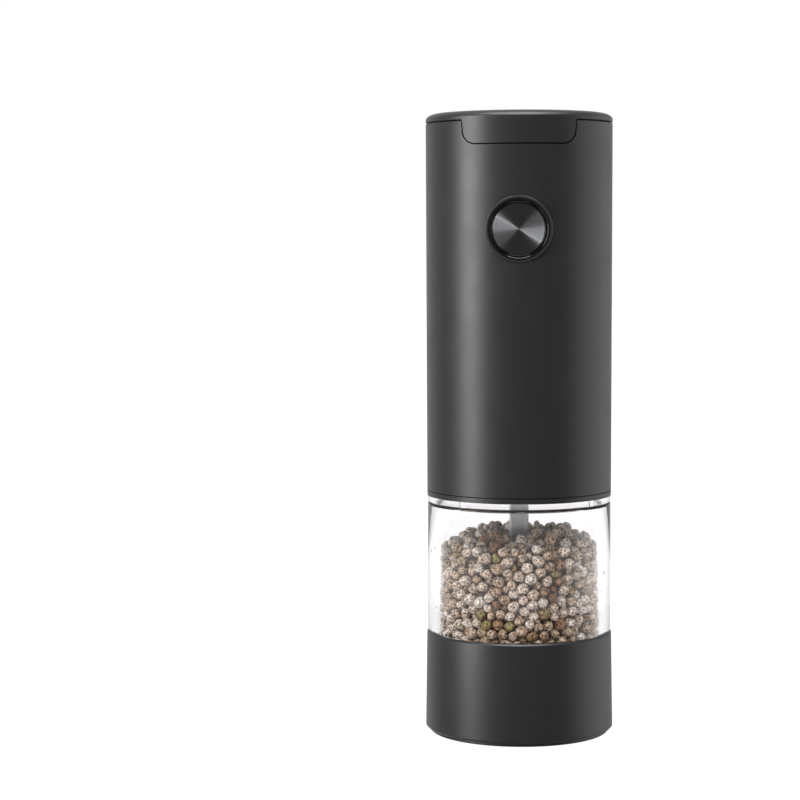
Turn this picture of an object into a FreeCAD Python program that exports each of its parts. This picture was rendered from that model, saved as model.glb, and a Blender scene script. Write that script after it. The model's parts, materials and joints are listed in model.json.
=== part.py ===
"""Battery pepper mill with a push button, 180 mm tall, built as an assembly of separate pieces.

The mill stands on its base with +Z up and its button facing -Y. The origin is the centre of the ring it
stands on. From the bottom up it is a grinder base, a clear jar of peppercorns, and a motor head that pulls
straight up off the jar. The head holds a button, a two-stage planetary gear motor, four AAA cells and a
hinged battery lid. A square shaft runs down through the jar to a ceramic burr. Lengths are in millimetres.
"""

import FreeCAD
import Part
import math
import os

V = FreeCAD.Vector
UP = V(0, 0, 1)
CENTRE = V(0, 0, 0)

# --- Driving dimensions -------------------------------------------------------------------------------
HEIGHT = 180.0             # table to lid
HEAD_R_TOP = 27.0          # the head's shell widens upwards, for mould draft
HEAD_R_BOTTOM = 26.8
JAR_R = 26.7
BASE_R_TOP = 26.95         # the base widens downwards
BASE_R_BOTTOM = 27.35
FIT = 0.1                  # radial gap between pieces that push or turn into each other
SLIP = 0.3                 # gap between pieces that only pass each other

BASE_TOP_Z = 29.7          # where the jar starts to show
JAR_SHOULDER_Z = 67.2      # where the jar steps in to its neck
GASKET = 0.5
HEAD_Z = 69.5              # underside of the head's flange
FLANGE = 1.4
SHELL_Z = HEAD_Z + FLANGE + 0.15
SEAM_Z = 177.0             # top of the shell, under the lid
BUTTON_Z = 146.7

JAR_R_IN = 23.2
SKIRT_R = 24.6             # jar's foot, glued into the base
SKIRT_Z = 17.5
NECK_R = 24.2
NECK_TOP_Z = 75.5
KEY_R = 24.65              # ribs on the neck that stop the head turning
KEY_WIDTH = 1.8
KEY_ANGLES = (45, 135, 231, 324)

SHELL_WALL = 1.6
SHELL_R_IN = HEAD_R_BOTTOM - SHELL_WALL

SHAFT_HALF = 2.8           # square drive shaft, half its width across flats
SHAFT_CHAMFER = 0.55
SHAFT_Z = (40.0, 75.0)

GEAR_MODULE = 0.6
SUN_TEETH = 12
PLANET_TEETH = 18
RING_TEETH = SUN_TEETH + 2 * PLANET_TEETH
PRESSURE = math.radians(20)
BACKLASH = 0.14            # taken from each tooth's thickness
PLANETS = 3
GEAR_CENTRES = GEAR_MODULE * (SUN_TEETH + PLANET_TEETH) / 2

CELL_R = 5.25              # AAA cell
CELL_LENGTH = 43.6         # without its nub
CELL_PITCH = 11.8
CELL_Y = 4.0               # the four cells sit behind the button's switch
CELL_Z = 132.0

HINGE_Y = 26.0
HINGE_Z = 176.0
KNUCKLE_R = 1.0
HINGE_PIN_R = 0.6
NOTCH_HALF = 7.6           # half the width of the gap for the hinge

TAB_HALF_ANGLE = 37.4      # the lid's front tab, seen from above
TAB_BOTTOM_Z = 170.7
TAB_CORNER = 3.4
LID_GAP = 0.35

os.makedirs("parts", exist_ok=True)


# --- Helpers ------------------------------------------------------------------------------------------
def save(name, *solids):
    """Writes one node: a single solid, or a group of separate ones."""
    shape = solids[0] if len(solids) == 1 else Part.makeCompound(list(solids))
    if not shape.isValid():
        print("INVALID", name)
    shape.exportStep("parts/" + name + ".step")
    print(f"{name}: {len(shape.Solids)} solid(s), {shape.Volume:.0f} mm3")


def disc(r, z0, z1, x=0.0, y=0.0):
    """An upright cylinder between two heights."""
    return Part.makeCylinder(r, z1 - z0, V(x, y, z0))


def ring(r_out, r_in, z0, z1, x=0.0, y=0.0):
    """An upright tube between two heights."""
    return disc(r_out, z0, z1, x, y).cut(disc(r_in, z0 - 1, z1 + 1, x, y))


def rod_y(r, y0, y1, z=BUTTON_Z, x=0.0):
    """A cylinder along Y, for the button and what is behind it."""
    return Part.makeCylinder(r, y1 - y0, V(x, y0, z), V(0, 1, 0))


def box(x0, x1, y0, y1, z0, z1):
    return Part.makeBox(x1 - x0, y1 - y0, z1 - z0, V(x0, y0, z0))


def spun(points):
    """A solid of revolution about Z from (radius, height) points. A 3-tuple (r, z, (rm, zm)) arrives at
    (r, z) along an arc through (rm, zm), and (r, z, "ellipse") along a quarter ellipse that ends level."""
    edges = []
    loop = list(points) + [points[0][:2]]
    for before, after in zip(loop, loop[1:]):
        start, end = V(before[0], 0, before[1]), V(after[0], 0, after[1])
        if len(after) == 3 and after[2] == "ellipse":
            whole = Part.Ellipse(start, end, V(after[0], 0, before[1]))
            edges.append(Part.ArcOfEllipse(whole, 0, math.pi / 2).toShape())
        elif len(after) == 3:
            middle = V(after[2][0], 0, after[2][1])
            edges.append(Part.Arc(start, middle, end).toShape())
        else:
            edges.append(Part.LineSegment(start, end).toShape())
    return Part.Face(Part.Wire(edges)).revolve(CENTRE, UP, 360)


def turned(shape, degrees, centre=CENTRE):
    copy = shape.copy()
    copy.rotate(centre, UP, degrees)
    return copy


def around(shape, angles):
    """Copies of a shape turned about the mill's axis, as a list."""
    return [turned(shape, a) for a in angles]


def thirds(start=0):
    return [start + 120 * k for k in range(3)]


def fused(shapes):
    whole = shapes[0]
    for s in shapes[1:]:
        whole = whole.fuse(s)
    return whole.removeSplitter()


def square_bar(half, chamfer, z0, z1):
    """A square bar with chamfered edges."""
    bar = box(-half, half, -half, half, z0, z1)
    uprights = [e for e in bar.Edges if abs(e.tangentAt(e.FirstParameter).z) > 0.9]
    return bar.makeChamfer(chamfer, uprights)


COIL_STEPS = 18            # straight steps in one turn of a spring
COIL_SIDES = 6


def coil(wire_r, coil_r, z0, z1, turns, x=0.0, y=0.0):
    """An upright coil spring of six-sided wire that reaches from z0 to z1."""
    steps = COIL_STEPS * turns
    sections = []
    for k in range(steps + 1):
        along = 2 * math.pi * k / COIL_STEPS
        z = z0 + wire_r + (z1 - z0 - 2 * wire_r) * k / steps
        corners = []
        for j in range(COIL_SIDES):
            around_wire = 2 * math.pi * (j + 0.5) / COIL_SIDES
            r = coil_r + wire_r * math.cos(around_wire)
            corners.append(V(x + r * math.cos(along), y + r * math.sin(along), z + wire_r * math.sin(around_wire)))
        sections.append(Part.makePolygon(corners + [corners[0]]))
    return Part.makeLoft(sections, True, True)


def gear_outline(teeth, r_root, r_tip, thickness_change):
    """A closed outline of involute teeth, three points to a flank, with a tooth centred on +X.
    thickness_change widens or thins each tooth, measured along the pitch circle."""
    pitch_r = GEAR_MODULE * teeth / 2
    base_r = pitch_r * math.cos(PRESSURE)

    def half_angle(r):
        a = math.acos(min(1.0, base_r / r)) if r > base_r else 0.0
        spread = math.tan(PRESSURE) - PRESSURE - (math.tan(a) - a)
        return math.pi / (2 * teeth) + thickness_change / (2 * pitch_r) + spread

    middle_r = max(pitch_r, base_r)
    radii = [r_root, middle_r, r_tip]
    points = []
    for k in range(teeth):
        middle = 2 * math.pi * k / teeth
        for r in radii:
            points.append((r, middle - half_angle(r)))
        for r in reversed(radii):
            points.append((r, middle + half_angle(r)))
    corners = [V(r * math.cos(a), r * math.sin(a), 0) for r, a in points]
    return Part.Face(Part.makePolygon(corners + [corners[0]]))


def toothed(teeth, z0, z1, bore):
    """A spur gear with a tooth centred on +X."""
    pitch_r = GEAR_MODULE * teeth / 2
    face = gear_outline(teeth, pitch_r - 1.25 * GEAR_MODULE, pitch_r + 0.8 * GEAR_MODULE, -BACKLASH)
    gear = face.extrude(V(0, 0, z1 - z0))
    gear.translate(V(0, 0, z0))
    return gear.cut(disc(bore, z0 - 1, z1 + 1)) if bore else gear


# --- Grinder base -------------------------------------------------------------------------------------
# The base shell is an open ring. The burr housing sits in it and carries the fixed burr, and a bell over
# the burr lets peppercorns in through three windows and guides the turning stem.
BASE_BORE = SKIRT_R + FIT
BASE_MOUTH_R = BASE_BORE - 1.2
FOOT_STAND_OFF = 0.2
FOOT_R = 26.1
FOOT_TOP_Z = 1.3
BASE_CHAMFER = 0.5
FLOOR_Z = (11.5, SKIRT_Z - 0.1)
BURR_BORE = 12.1
BELL_R = 13.6
BELL_Z = 40.5
HUB_R = 6.2
HUB_TOP_Z = 48.0


def base_shell():
    """Black outer sleeve. Its wall ends in a small chamfer above a narrower foot."""
    low = FOOT_STAND_OFF
    outer = spun([
        (0, low), (FOOT_R - 0.3, low), (FOOT_R, low + 0.3), (FOOT_R, FOOT_TOP_Z),
        (BASE_R_BOTTOM - BASE_CHAMFER, FOOT_TOP_Z), (BASE_R_BOTTOM, FOOT_TOP_Z + BASE_CHAMFER),
        (BASE_R_TOP, BASE_TOP_Z - 0.5), (BASE_R_TOP - 0.4, BASE_TOP_Z), (0, BASE_TOP_Z),
    ])
    cavity = disc(BASE_BORE, FLOOR_Z[0], BASE_TOP_Z + 1)
    mouth = disc(BASE_MOUTH_R, -1, FLOOR_Z[0] + 1)
    return outer.cut(cavity).cut(mouth).cut(foot_ring())


def foot_ring():
    """A thin rubber ring let into the base's underside. The mill stands on it."""
    return ring(BASE_MOUTH_R + 1.1, BASE_MOUTH_R + 0.35, 0.0, 1.1)


def burr_housing():
    rim_r = SKIRT_R
    low, high = FLOOR_Z
    body = spun([
        (BURR_BORE, 6.5), (BELL_R + 0.6, 6.5), (BELL_R + 0.6, low - 1.5), (BELL_R + 2.0, low),
        (rim_r, low), (rim_r, high), (JAR_R_IN - 0.2, high), (BELL_R + 1.0, high - 2.6), (BURR_BORE, high - 2.6),
    ])
    posts = around(disc(2.6, 6.0, low + 1.0, 19.5, 0), thirds(SPIDER_START))
    pilots = around(disc(0.9, 5.0, low, 19.5, 0), thirds(SPIDER_START))
    return fused([body] + posts).cut(Part.makeCompound(pilots))


def bell():
    """The dome over the burr: three legs, a shoulder, and the hub that the stem turns in."""
    foot_z = FLOOR_Z[1] - 2.6
    wall = 1.7
    outer = [
        (BELL_R, foot_z), (BELL_R, 33.0), (7.4, BELL_Z, (11.9, 38.2)),
        (HUB_R, BELL_Z + 0.9), (HUB_R, HUB_TOP_Z),
    ]
    inner = [
        (5.45, HUB_TOP_Z), (5.45, BELL_Z - wall), (6.6, BELL_Z - wall),
        (BELL_R - wall, 32.0, (10.5, 36.8)), (BELL_R - wall, foot_z),
    ]
    dome = spun(outer + inner)
    window = box(0, BELL_R + 2, -7.2, 7.2, foot_z + 1.4, 32.4)
    arch = Part.makeCylinder(7.2, BELL_R + 2, V(0, 0, 32.4), V(1, 0, 0))
    arch = arch.common(box(0, BELL_R + 3, -8, 8, 30, 36.6))
    for angle in thirds(-90):
        dome = dome.cut(turned(window.fuse(arch), angle))
    return dome


def hub_bush():
    return ring(5.4, 4.7, BELL_Z - 1.0, HUB_TOP_Z + 0.5)


def grooves(count, radius, lean, depth, z0, z1, outward):
    """V-grooves down a cone, as one compound to cut away. Each is a long three-sided bar that leans
    sideways, set round the axis."""
    half = depth * 0.9
    apex = radius + depth if outward else radius - depth
    back = radius - depth if outward else radius + depth
    low = [V(apex, 0, z0), V(back, -half, z0), V(back, half, z0)]
    bar = Part.Face(Part.makePolygon(low + [low[0]])).extrude(V(0, 0, z1 - z0))
    bar.rotate(V(radius, 0, (z0 + z1) / 2), V(1, 0, 0), lean)
    return Part.makeCompound(around(bar, [360 * k / count for k in range(count)]))


BURR_Z = (6.6, 14.7)


def outer_burr():
    z0, z1 = BURR_Z
    cone = spun([(10.5, z0), (12.0, z0), (12.0, z1), (9.8, z1), (9.2, z0 + 3.0)])
    fine = grooves(36, 9.9, 14, 0.5, z0 - 1, z0 + 3.6, True)
    coarse = grooves(12, 9.6, 12, 1.1, z0 + 2.6, z1 + 1, True)
    return cone.cut(fine).cut(coarse)


def inner_burr():
    z0, z1 = BURR_Z
    cone = spun([(5.0, z0), (9.9, z0), (8.6, z0 + 3.0), (6.6, z1 - 0.6), (5.0, z1 - 0.6)])
    fine = grooves(32, 9.4, -14, 0.45, z0 - 1, z0 + 3.2, False)
    coarse = grooves(8, 7.6, -18, 1.1, z0 + 2.6, z1 + 1, False)
    return cone.cut(fine).cut(coarse)


STEM_R = 4.6
STEM_TOP_Z = HUB_TOP_Z - 0.2
SEAT_Z = 29.9              # shoulder on the stem for the spring's washer


def burr_stem():
    """The turning core: a square socket for the shaft at the top, the burr's seat at the bottom, and
    three paddles that keep the peppercorns moving."""
    z0, z1 = BURR_Z
    core = spun([
        (0, z0 + 0.6), (4.9, z0 + 0.6), (4.9, z1 - 0.5), (6.4, z1 - 0.5), (6.4, z1 + 1.0),
        (5.3, z1 + 2.2), (5.3, SEAT_Z), (STEM_R, SEAT_Z), (STEM_R, STEM_TOP_Z), (0, STEM_TOP_Z),
    ])
    paddle = box(STEM_R - 0.5, 9.2, -0.8, 0.8, z1 + 1.2, z1 + 8.0)
    sloped = Part.Face(Part.makePolygon([
        V(5, -2, z1 + 8.2), V(9.4, -2, z1 + 4.0), V(9.4, -2, z1 + 8.2), V(5, -2, z1 + 8.2),
    ])).extrude(V(0, 4, 0))
    paddles = around(paddle.cut(sloped), thirds(20))
    whole = fused([core] + paddles)
    socket = square_bar(SHAFT_HALF + 0.08, SHAFT_CHAMFER, SHAFT_Z[0] - 1.5, STEM_TOP_Z + 1)
    screw_hole = disc(1.1, z0 - 1, z0 + 6)
    return whole.cut(socket).cut(screw_hole)


def burr_spring():
    """Pushes the stem down on its lifter. It sits round the stem, under the bell's shoulder."""
    return coil(0.4, 5.3, SEAT_Z + 0.65, BELL_Z - 1.8, 4)


def spring_seat():
    """A washer on the stem that the spring's lower end presses on."""
    return ring(5.9, STEM_R + 0.05, SEAT_Z + 0.02, SEAT_Z + 0.6)


def stem_screw():
    """Washer-head screw that holds the inner burr on the stem and runs on the lifting cup."""
    z0 = BURR_Z[0]
    screw = fused([disc(2.1, z0 - 1.9, z0 - 0.5), disc(4.6, z0 - 0.6, z0 - 0.02), disc(1.05, z0 - 0.5, z0 + 5.4)])
    return screw


# The grind adjuster is a thumb knob on the underside. It turns in a three-armed spider, and its thread
# raises or lowers the cup that carries the stem.
SPIDER_START = 90
SPIDER_Z = (2.3, 3.7)
KNOB_R = 8.2
LIFT = 0.9                 # how far the knob lowers the burr
CUP_Z = (3.8, BURR_Z[0] - 1.95)
CUP_STEM_Z = 2.0


def bottom_spider():
    z0, z1 = SPIDER_Z
    hub = ring(6.6, 4.0, z0, z1)
    arm = box(5.4, 20.5, -1.6, 1.6, z0, z1)
    pad = disc(2.8, z0, 5.9, 19.5, 0)
    arms = around(arm.fuse(pad), thirds(SPIDER_START))
    holes = around(disc(1.2, z0 - 1, 7, 19.5, 0), thirds(SPIDER_START))
    inner = disc(4.0, z0 - 1, z1 + 1)
    return fused([hub] + arms).cut(Part.makeCompound(holes)).cut(inner)


def spider_screws():
    z = SPIDER_Z[0]
    head = disc(1.9, z - 1.4, z, 19.5, 0)
    shank = disc(0.9, z, 10.0, 19.5, 0)
    cross = box(19.5 - 1.2, 19.5 + 1.2, -0.3, 0.3, z - 2.0, z - 0.8)
    screw = head.fuse(shank).removeSplitter().cut(cross)
    return around(screw, thirds(SPIDER_START))


def adjust_knob():
    z0, z1 = 0.4, SPIDER_Z[0] - 0.1
    chamfer = 0.5
    body = spun([(0, z0), (KNOB_R - chamfer, z0), (KNOB_R, z0 + chamfer), (KNOB_R, z1), (0, z1)])
    flutes = around(disc(0.55, z0 - 1, z1 + 1, KNOB_R + 0.15, 0), range(0, 360, 15))
    pointer = box(-0.5, 0.5, 3.0, KNOB_R - 1.4, z0 - 1, z0 + 0.35)
    grip = ring(6.2, 2.9, z0 - 1, z0 + 0.5).cut(box(-1.1, 1.1, -9, 9, -2, 3))
    sleeve = disc(3.9, z1, CUP_Z[0] - LIFT - 0.1)
    bore = disc(1.7, CUP_STEM_Z - LIFT - 0.1, SPIDER_Z[1] + 1)
    body = body.cut(Part.makeCompound(flutes)).cut(grip).cut(pointer)
    return body.fuse(sleeve).removeSplitter().cut(bore)


def lift_cup():
    """Slides up and down with the knob's thread. The stem's screw head turns in it."""
    return disc(1.6, CUP_STEM_Z, CUP_Z[0]).fuse(disc(2.9, *CUP_Z)).removeSplitter()


def jar():
    """Clear jar: a thick wall, a foot that is glued into the base, and a keyed neck."""
    body = spun([
        (JAR_R_IN, SKIRT_Z), (SKIRT_R, SKIRT_Z), (SKIRT_R, BASE_TOP_Z + 0.05), (JAR_R - 0.25, BASE_TOP_Z + 0.05),
        (JAR_R, BASE_TOP_Z + 0.35), (JAR_R, JAR_SHOULDER_Z - 0.3), (JAR_R - 0.3, JAR_SHOULDER_Z),
        (NECK_R, JAR_SHOULDER_Z), (NECK_R, NECK_TOP_Z - 0.4), (NECK_R - 0.4, NECK_TOP_Z),
        (JAR_R_IN + 0.2, NECK_TOP_Z), (JAR_R_IN, NECK_TOP_Z - 0.2),
    ])
    return fused([body] + neck_keys(KEY_R, KEY_WIDTH, NECK_TOP_Z - 2.0))


def neck_keys(r_out, width, top):
    key = box(NECK_R - 0.5, r_out + 1, -width / 2, width / 2, JAR_SHOULDER_Z, top)
    key = key.common(disc(r_out, 0, HEIGHT)).cut(disc(NECK_R - 0.4, 0, HEIGHT))
    return around(key, KEY_ANGLES)


def key_slots(z0, z1):
    """What to cut so that the neck's keys slide in."""
    slot = box(NECK_R - 1, KEY_R + FIT, -KEY_WIDTH / 2 - FIT, KEY_WIDTH / 2 + FIT, z0, z1)
    return Part.makeCompound(around(slot, KEY_ANGLES))


def mouth_gasket():
    return ring(JAR_R - 0.2, KEY_R + 0.15, JAR_SHOULDER_Z, JAR_SHOULDER_Z + GASKET)


def pepper_fill():
    """One solid for the loose peppercorns, heaped round the shaft and clear of every moving piece."""
    wall_r = JAR_R_IN - SLIP
    bore_r = 4.6
    bell_gap = BELL_R + 0.4
    floor_z = FLOOR_Z[1] + 0.2
    return spun([
        (wall_r, floor_z), (wall_r, 56.0), (14.5, 60.8, (19.5, 59.2)), (bore_r, 59.6, (9.0, 61.7)),
        (bore_r, HUB_TOP_Z + 1.0), (HUB_R + 0.4, HUB_TOP_Z + 1.0), (HUB_R + 0.4, BELL_Z + 1.4),
        (bell_gap, BELL_Z - 1.4), (bell_gap, floor_z - 2.0), (bell_gap + 1.0, floor_z - 2.0),
    ])


# --- Head ---------------------------------------------------------------------------------------------
SOCKET_TOP_Z = NECK_TOP_Z + 0.5
PLUG_R = JAR_R_IN - 0.2
HEAD_FLOOR_Z = (69.6, 71.2)
COLLAR_SCREW_Z = 71.1
POST_R = 2.3
POST_AT = 19.5             # the three screws through collar, chassis and battery holder, from the axis
POST_ANGLES = (30, 150, 270)


def lock_ring():
    """Clear ring under the head's flange. Its slots take the neck's keys."""
    body = ring(JAR_R - 0.05, NECK_R + FIT, JAR_SHOULDER_Z + GASKET, HEAD_Z)
    tongue = ring(26.0, 25.3, HEAD_Z - 0.5, HEAD_Z + 0.7)
    return body.fuse(tongue).removeSplitter().cut(key_slots(JAR_SHOULDER_Z, HEAD_Z + 0.01))


def socket_collar():
    """The head's moulded end: a visible flange, a ring-shaped socket for the neck, and a floor."""
    shell_fit = SHELL_R_IN - 0.05
    body = spun([
        (6.2, HEAD_FLOOR_Z[0]), (PLUG_R - 0.5, HEAD_FLOOR_Z[0]), (PLUG_R, HEAD_FLOOR_Z[0] + 0.5),
        (PLUG_R, SOCKET_TOP_Z), (NECK_R + FIT, SOCKET_TOP_Z), (NECK_R + FIT, HEAD_Z),
        (HEAD_R_BOTTOM, HEAD_Z), (HEAD_R_BOTTOM, HEAD_Z + FLANGE), (shell_fit, HEAD_Z + FLANGE),
        (shell_fit, SOCKET_TOP_Z + 1.6), (PLUG_R - 1.4, SOCKET_TOP_Z + 1.6), (PLUG_R - 1.4, HEAD_FLOOR_Z[1]),
        (6.2, HEAD_FLOOR_Z[1]),
    ])
    groove = ring(26.05, 25.25, HEAD_Z - 1, HEAD_Z + 0.75)
    posts = around(disc(POST_R, HEAD_FLOOR_Z[0] + 1, SOCKET_TOP_Z + 1.6, POST_AT, 0), POST_ANGLES)
    seat = ring(GEARBOX_R - 1.0, GEARBOX_R - 3.0, HEAD_FLOOR_Z[1] - 0.5, GEARBOX_Z[0] - 0.05)
    hole = disc(1.1, 60, 90, POST_AT, 0).fuse(disc(2.05, 60, COLLAR_SCREW_Z, POST_AT, 0))
    whole = fused([body, seat] + posts).cut(groove).cut(key_slots(HEAD_Z - 1, NECK_TOP_Z - 1.6))
    return whole.cut(Part.makeCompound(around(hole, POST_ANGLES))).cut(disc(6.2, 60, 90))


def collar_screws():
    """Three screws up through the collar's posts into the chassis, their heads under its floor."""
    z = COLLAR_SCREW_Z
    head = disc(1.9, z - 1.3, z, POST_AT, 0)
    shank = disc(0.85, z, z + 11.0, POST_AT, 0)
    slot = box(POST_AT - 1.2, POST_AT + 1.2, -0.3, 0.3, z - 2, z - 0.7)
    return around(head.fuse(shank).removeSplitter().cut(slot), POST_ANGLES)


def shaft_seal():
    """Silicone washer in the floor's hole, just clear of the turning shaft."""
    return ring(6.15, 3.75, HEAD_FLOOR_Z[0], HEAD_FLOOR_Z[0] + 1.2)


def drive_shaft():
    return square_bar(SHAFT_HALF, SHAFT_CHAMFER, *SHAFT_Z)


def body_shell():
    r0, r1 = HEAD_R_BOTTOM, HEAD_R_TOP
    shell = spun([
        (SHELL_R_IN, SHELL_Z), (r0 - 0.2, SHELL_Z), (r0, SHELL_Z + 0.2), (r1, SEAM_Z), (SHELL_R_IN, SEAM_Z),
    ])
    shell = shell.cut(rod_y(BEZEL_R + 0.05, -40, 0))
    shell = shell.cut(tab_blank(LID_GAP, SHELL_R_IN - 2, HEIGHT + 1))
    notch = box(-NOTCH_HALF, NOTCH_HALF, 20, 30, HINGE_Z - KNUCKLE_R - 0.5, HEIGHT)
    tongue_half = 3.3
    shell = shell.cut(notch)
    tongue = box(-tongue_half, tongue_half, HINGE_Y - KNUCKLE_R, HINGE_Y + KNUCKLE_R,
                 HINGE_Z - KNUCKLE_R - 2.5, HINGE_Z)
    knuckle = Part.makeCylinder(KNUCKLE_R, 2 * tongue_half, V(-tongue_half, HINGE_Y, HINGE_Z), V(1, 0, 0))
    tongue = tongue.cut(disc(SHELL_R_IN, 100, 200)).fuse(knuckle).common(disc(HEAD_R_TOP, 100, 200))
    pin_hole = Part.makeCylinder(HINGE_PIN_R, 30, V(-15, HINGE_Y, HINGE_Z), V(1, 0, 0))
    return shell.fuse(tongue).removeSplitter().cut(pin_hole)


def hinge_pin():
    half = NOTCH_HALF - 0.5
    return Part.makeCylinder(HINGE_PIN_R, 2 * half, V(-half, HINGE_Y, HINGE_Z), V(1, 0, 0))


def tab_blank(grow, r_in, top):
    """The lid's front tab as a block, seen from the front: straight sides that lean in a little and
    rounded lower corners. grow makes the opening that it sits in."""
    half = HEAD_R_TOP * math.sin(math.radians(TAB_HALF_ANGLE)) + grow
    lean = 0.7
    low = TAB_BOTTOM_Z - grow
    r = TAB_CORNER + grow
    c = r * (1 - math.cos(math.pi / 4))
    y = -HEAD_R_TOP - 2

    def p(x, z):
        return V(x, y, z)

    def line(a, b):
        return Part.LineSegment(a, b).toShape()

    foot = half - lean
    edges = [
        line(p(-half, top), p(-foot, low + r)),
        Part.Arc(p(-foot, low + r), p(-foot + c, low + c), p(-foot + r, low)).toShape(),
        line(p(-foot + r, low), p(foot - r, low)),
        Part.Arc(p(foot - r, low), p(foot - c, low + c), p(foot, low + r)).toShape(),
        line(p(foot, low + r), p(half, top)),
        line(p(half, top), p(-half, top)),
    ]
    block = Part.Face(Part.Wire(edges)).extrude(V(0, HEAD_R_TOP, 0))
    return block.cut(disc(r_in, low - 5, top + 5))


LID_EDGE_Z = 178.1
SHOULDER_R = 23.0
LID_INNER_Z = 178.3
LID_LIP_R = 24.8
LID_LIP_Z = 176.2


def lid():
    """Battery lid: a shallow cap with a soft shoulder, a dished top, a lip that drops inside the shell,
    a front tab and two hinge knuckles."""
    r = HEAD_R_TOP
    cap = spun([
        (0, LID_INNER_Z), (LID_LIP_R - 0.9, LID_INNER_Z), (LID_LIP_R - 0.9, LID_LIP_Z),
        (LID_LIP_R, LID_LIP_Z), (LID_LIP_R, SEAM_Z + LID_GAP),
        (r, SEAM_Z + LID_GAP), (r, LID_EDGE_Z), (SHOULDER_R, HEIGHT, "ellipse"),
        (SHOULDER_R - 0.4, HEIGHT), (SHOULDER_R - 0.9, HEIGHT - 0.35), (0, HEIGHT - 0.35),
    ])
    tab = tab_blank(0, SHELL_R_IN + 0.1, HEIGHT).common(disc(r, 160, LID_EDGE_Z - 0.2))
    nail_lip = ring(r + 1, r - 0.25, TAB_BOTTOM_Z - 1, TAB_BOTTOM_Z + 0.35)
    cap = cap.fuse(tab.cut(nail_lip)).removeSplitter()
    notch = box(-NOTCH_HALF + 0.3, NOTCH_HALF - 0.3, HINGE_Y - 1.9, 30, SEAM_Z - 2, HEIGHT + 1)
    cap = cap.cut(notch)
    knuckles = []
    for side in (-1, 1):
        x0, x1 = sorted((side * 3.6, side * (NOTCH_HALF - 0.9)))
        barrel = Part.makeCylinder(KNUCKLE_R, x1 - x0, V(x0, HINGE_Y, HINGE_Z), V(1, 0, 0))
        web = box(x0, x1, HINGE_Y - 2.6, HINGE_Y - 0.3, HINGE_Z + 0.2, LID_EDGE_Z + 0.6)
        web = web.cut(box(x0 - 1, x1 + 1, HINGE_Y - 4, HINGE_Y - 0.9, HINGE_Z - 1, SEAM_Z + LID_GAP))
        knuckles.append(barrel.fuse(web))
    pin_hole = Part.makeCylinder(HINGE_PIN_R + 0.06, 30, V(-15, HINGE_Y, HINGE_Z), V(1, 0, 0))
    ribs = [box(-18, 18, y - 0.5, y + 0.5, LID_INNER_Z - 0.7, LID_INNER_Z + 0.1) for y in (-9, 18.5)]
    return fused([cap] + knuckles + ribs).cut(pin_hole)


WIRE_R = 0.5


def cell_places():
    half = CELL_PITCH / 2
    return [(-half, CELL_Y - half, 1), (half, CELL_Y - half, -1), (-half, CELL_Y + half, -1), (half, CELL_Y + half, 1)]


def battery_cells():
    """Four AAA cells standing side by side, two of them upside down."""
    cells = []
    for x, y, way in cell_places():
        z0, z1 = CELL_Z, CELL_Z + CELL_LENGTH
        can = spun([(0, z0), (CELL_R - 0.4, z0), (CELL_R, z0 + 0.4), (CELL_R, z1 - 0.4), (CELL_R - 0.4, z1), (0, z1)])
        can.translate(V(x, y, 0))
        nub = disc(1.9, z1 - 0.5, z1 + 0.8, x, y) if way > 0 else disc(1.9, z0 - 0.8, z0 + 0.5, x, y)
        cells.append(can.fuse(nub).removeSplitter())
    return cells


HOLDER_Z = (126.2, 175.4)
DECK_Z = 173.6
LEAD_HOLES = ((-8.5, -18.0), (-5.4, -18.0))


def battery_holder():
    """Four open wells on a floor plate, with a deck on top that fills the shell and a flat front that
    the switch board is screwed to."""
    z0, z1 = HOLDER_Z
    wells = [disc(CELL_R + 1.3, z0, z1, x, y) for x, y, _ in cell_places()]
    middle = box(-CELL_PITCH / 2, CELL_PITCH / 2, CELL_Y - CELL_PITCH / 2, CELL_Y + CELL_PITCH / 2, z0, z1)
    floor = disc(SHELL_R_IN - 0.2, z0, z0 + 1.6)
    deck = disc(SHELL_R_IN - 0.1, DECK_Z, z1)
    board_rib = box(-9, 9, BOARD_Y + 1.2, CELL_Y - CELL_PITCH / 2, 136, 158)
    whole = fused(wells + [middle, floor, deck, board_rib])
    bores = [disc(CELL_R + 0.2, z0 + 2.8, z1 + 1, x, y) for x, y, _ in cell_places()]
    terminal_holes = [disc(3.4, z0 - 1, z0 + 3, x, y) for x, y, _ in cell_places()]
    tab_relief = tab_blank(LID_GAP, 0, HEIGHT).common(box(-20, 20, -30, -SHELL_R_IN + 1.4, 160, 185))
    screw_holes = around(disc(1.1, z0 - 1, z0 + 1.7, POST_AT, 0), POST_ANGLES)
    screw_holes += [disc(1.1, z0 - 1, z0 + 1.7, x, y) for x, y in LEAD_HOLES]
    board_pilots = [rod_y(0.7, BOARD_Y + 1, BOARD_Y + 5, BUTTON_Z + dz, dx) for dx, dz in BOARD_SCREWS]
    whole = whole.cut(Part.makeCompound(bores)).cut(Part.makeCompound(terminal_holes))
    whole = whole.cut(tab_relief).cut(Part.makeCompound(screw_holes)).cut(Part.makeCompound(board_pilots))
    return whole


def bottom_contacts():
    """Under each cell a plate: with a coil spring for a flat end, or with a raised cup for a nub."""
    z0 = HOLDER_Z[0] + 2.8
    solids = []
    for x, y, way in cell_places():
        if way > 0:
            solids.append(ring(5.0, 2.7, z0, z0 + 0.3, x, y))
            solids.append(coil(0.3, 3.4, z0 + 0.3, CELL_Z, 3, x, y))
        else:
            top = CELL_Z - 0.85
            cup = spun([
                (0, top), (2.1, top), (2.7, z0 + 0.3), (5.0, z0 + 0.3), (5.0, z0), (2.4, z0), (1.8, top - 0.3),
                (0, top - 0.3),
            ])
            cup.translate(V(x, y, 0))
            solids.append(cup)
    return solids


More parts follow.
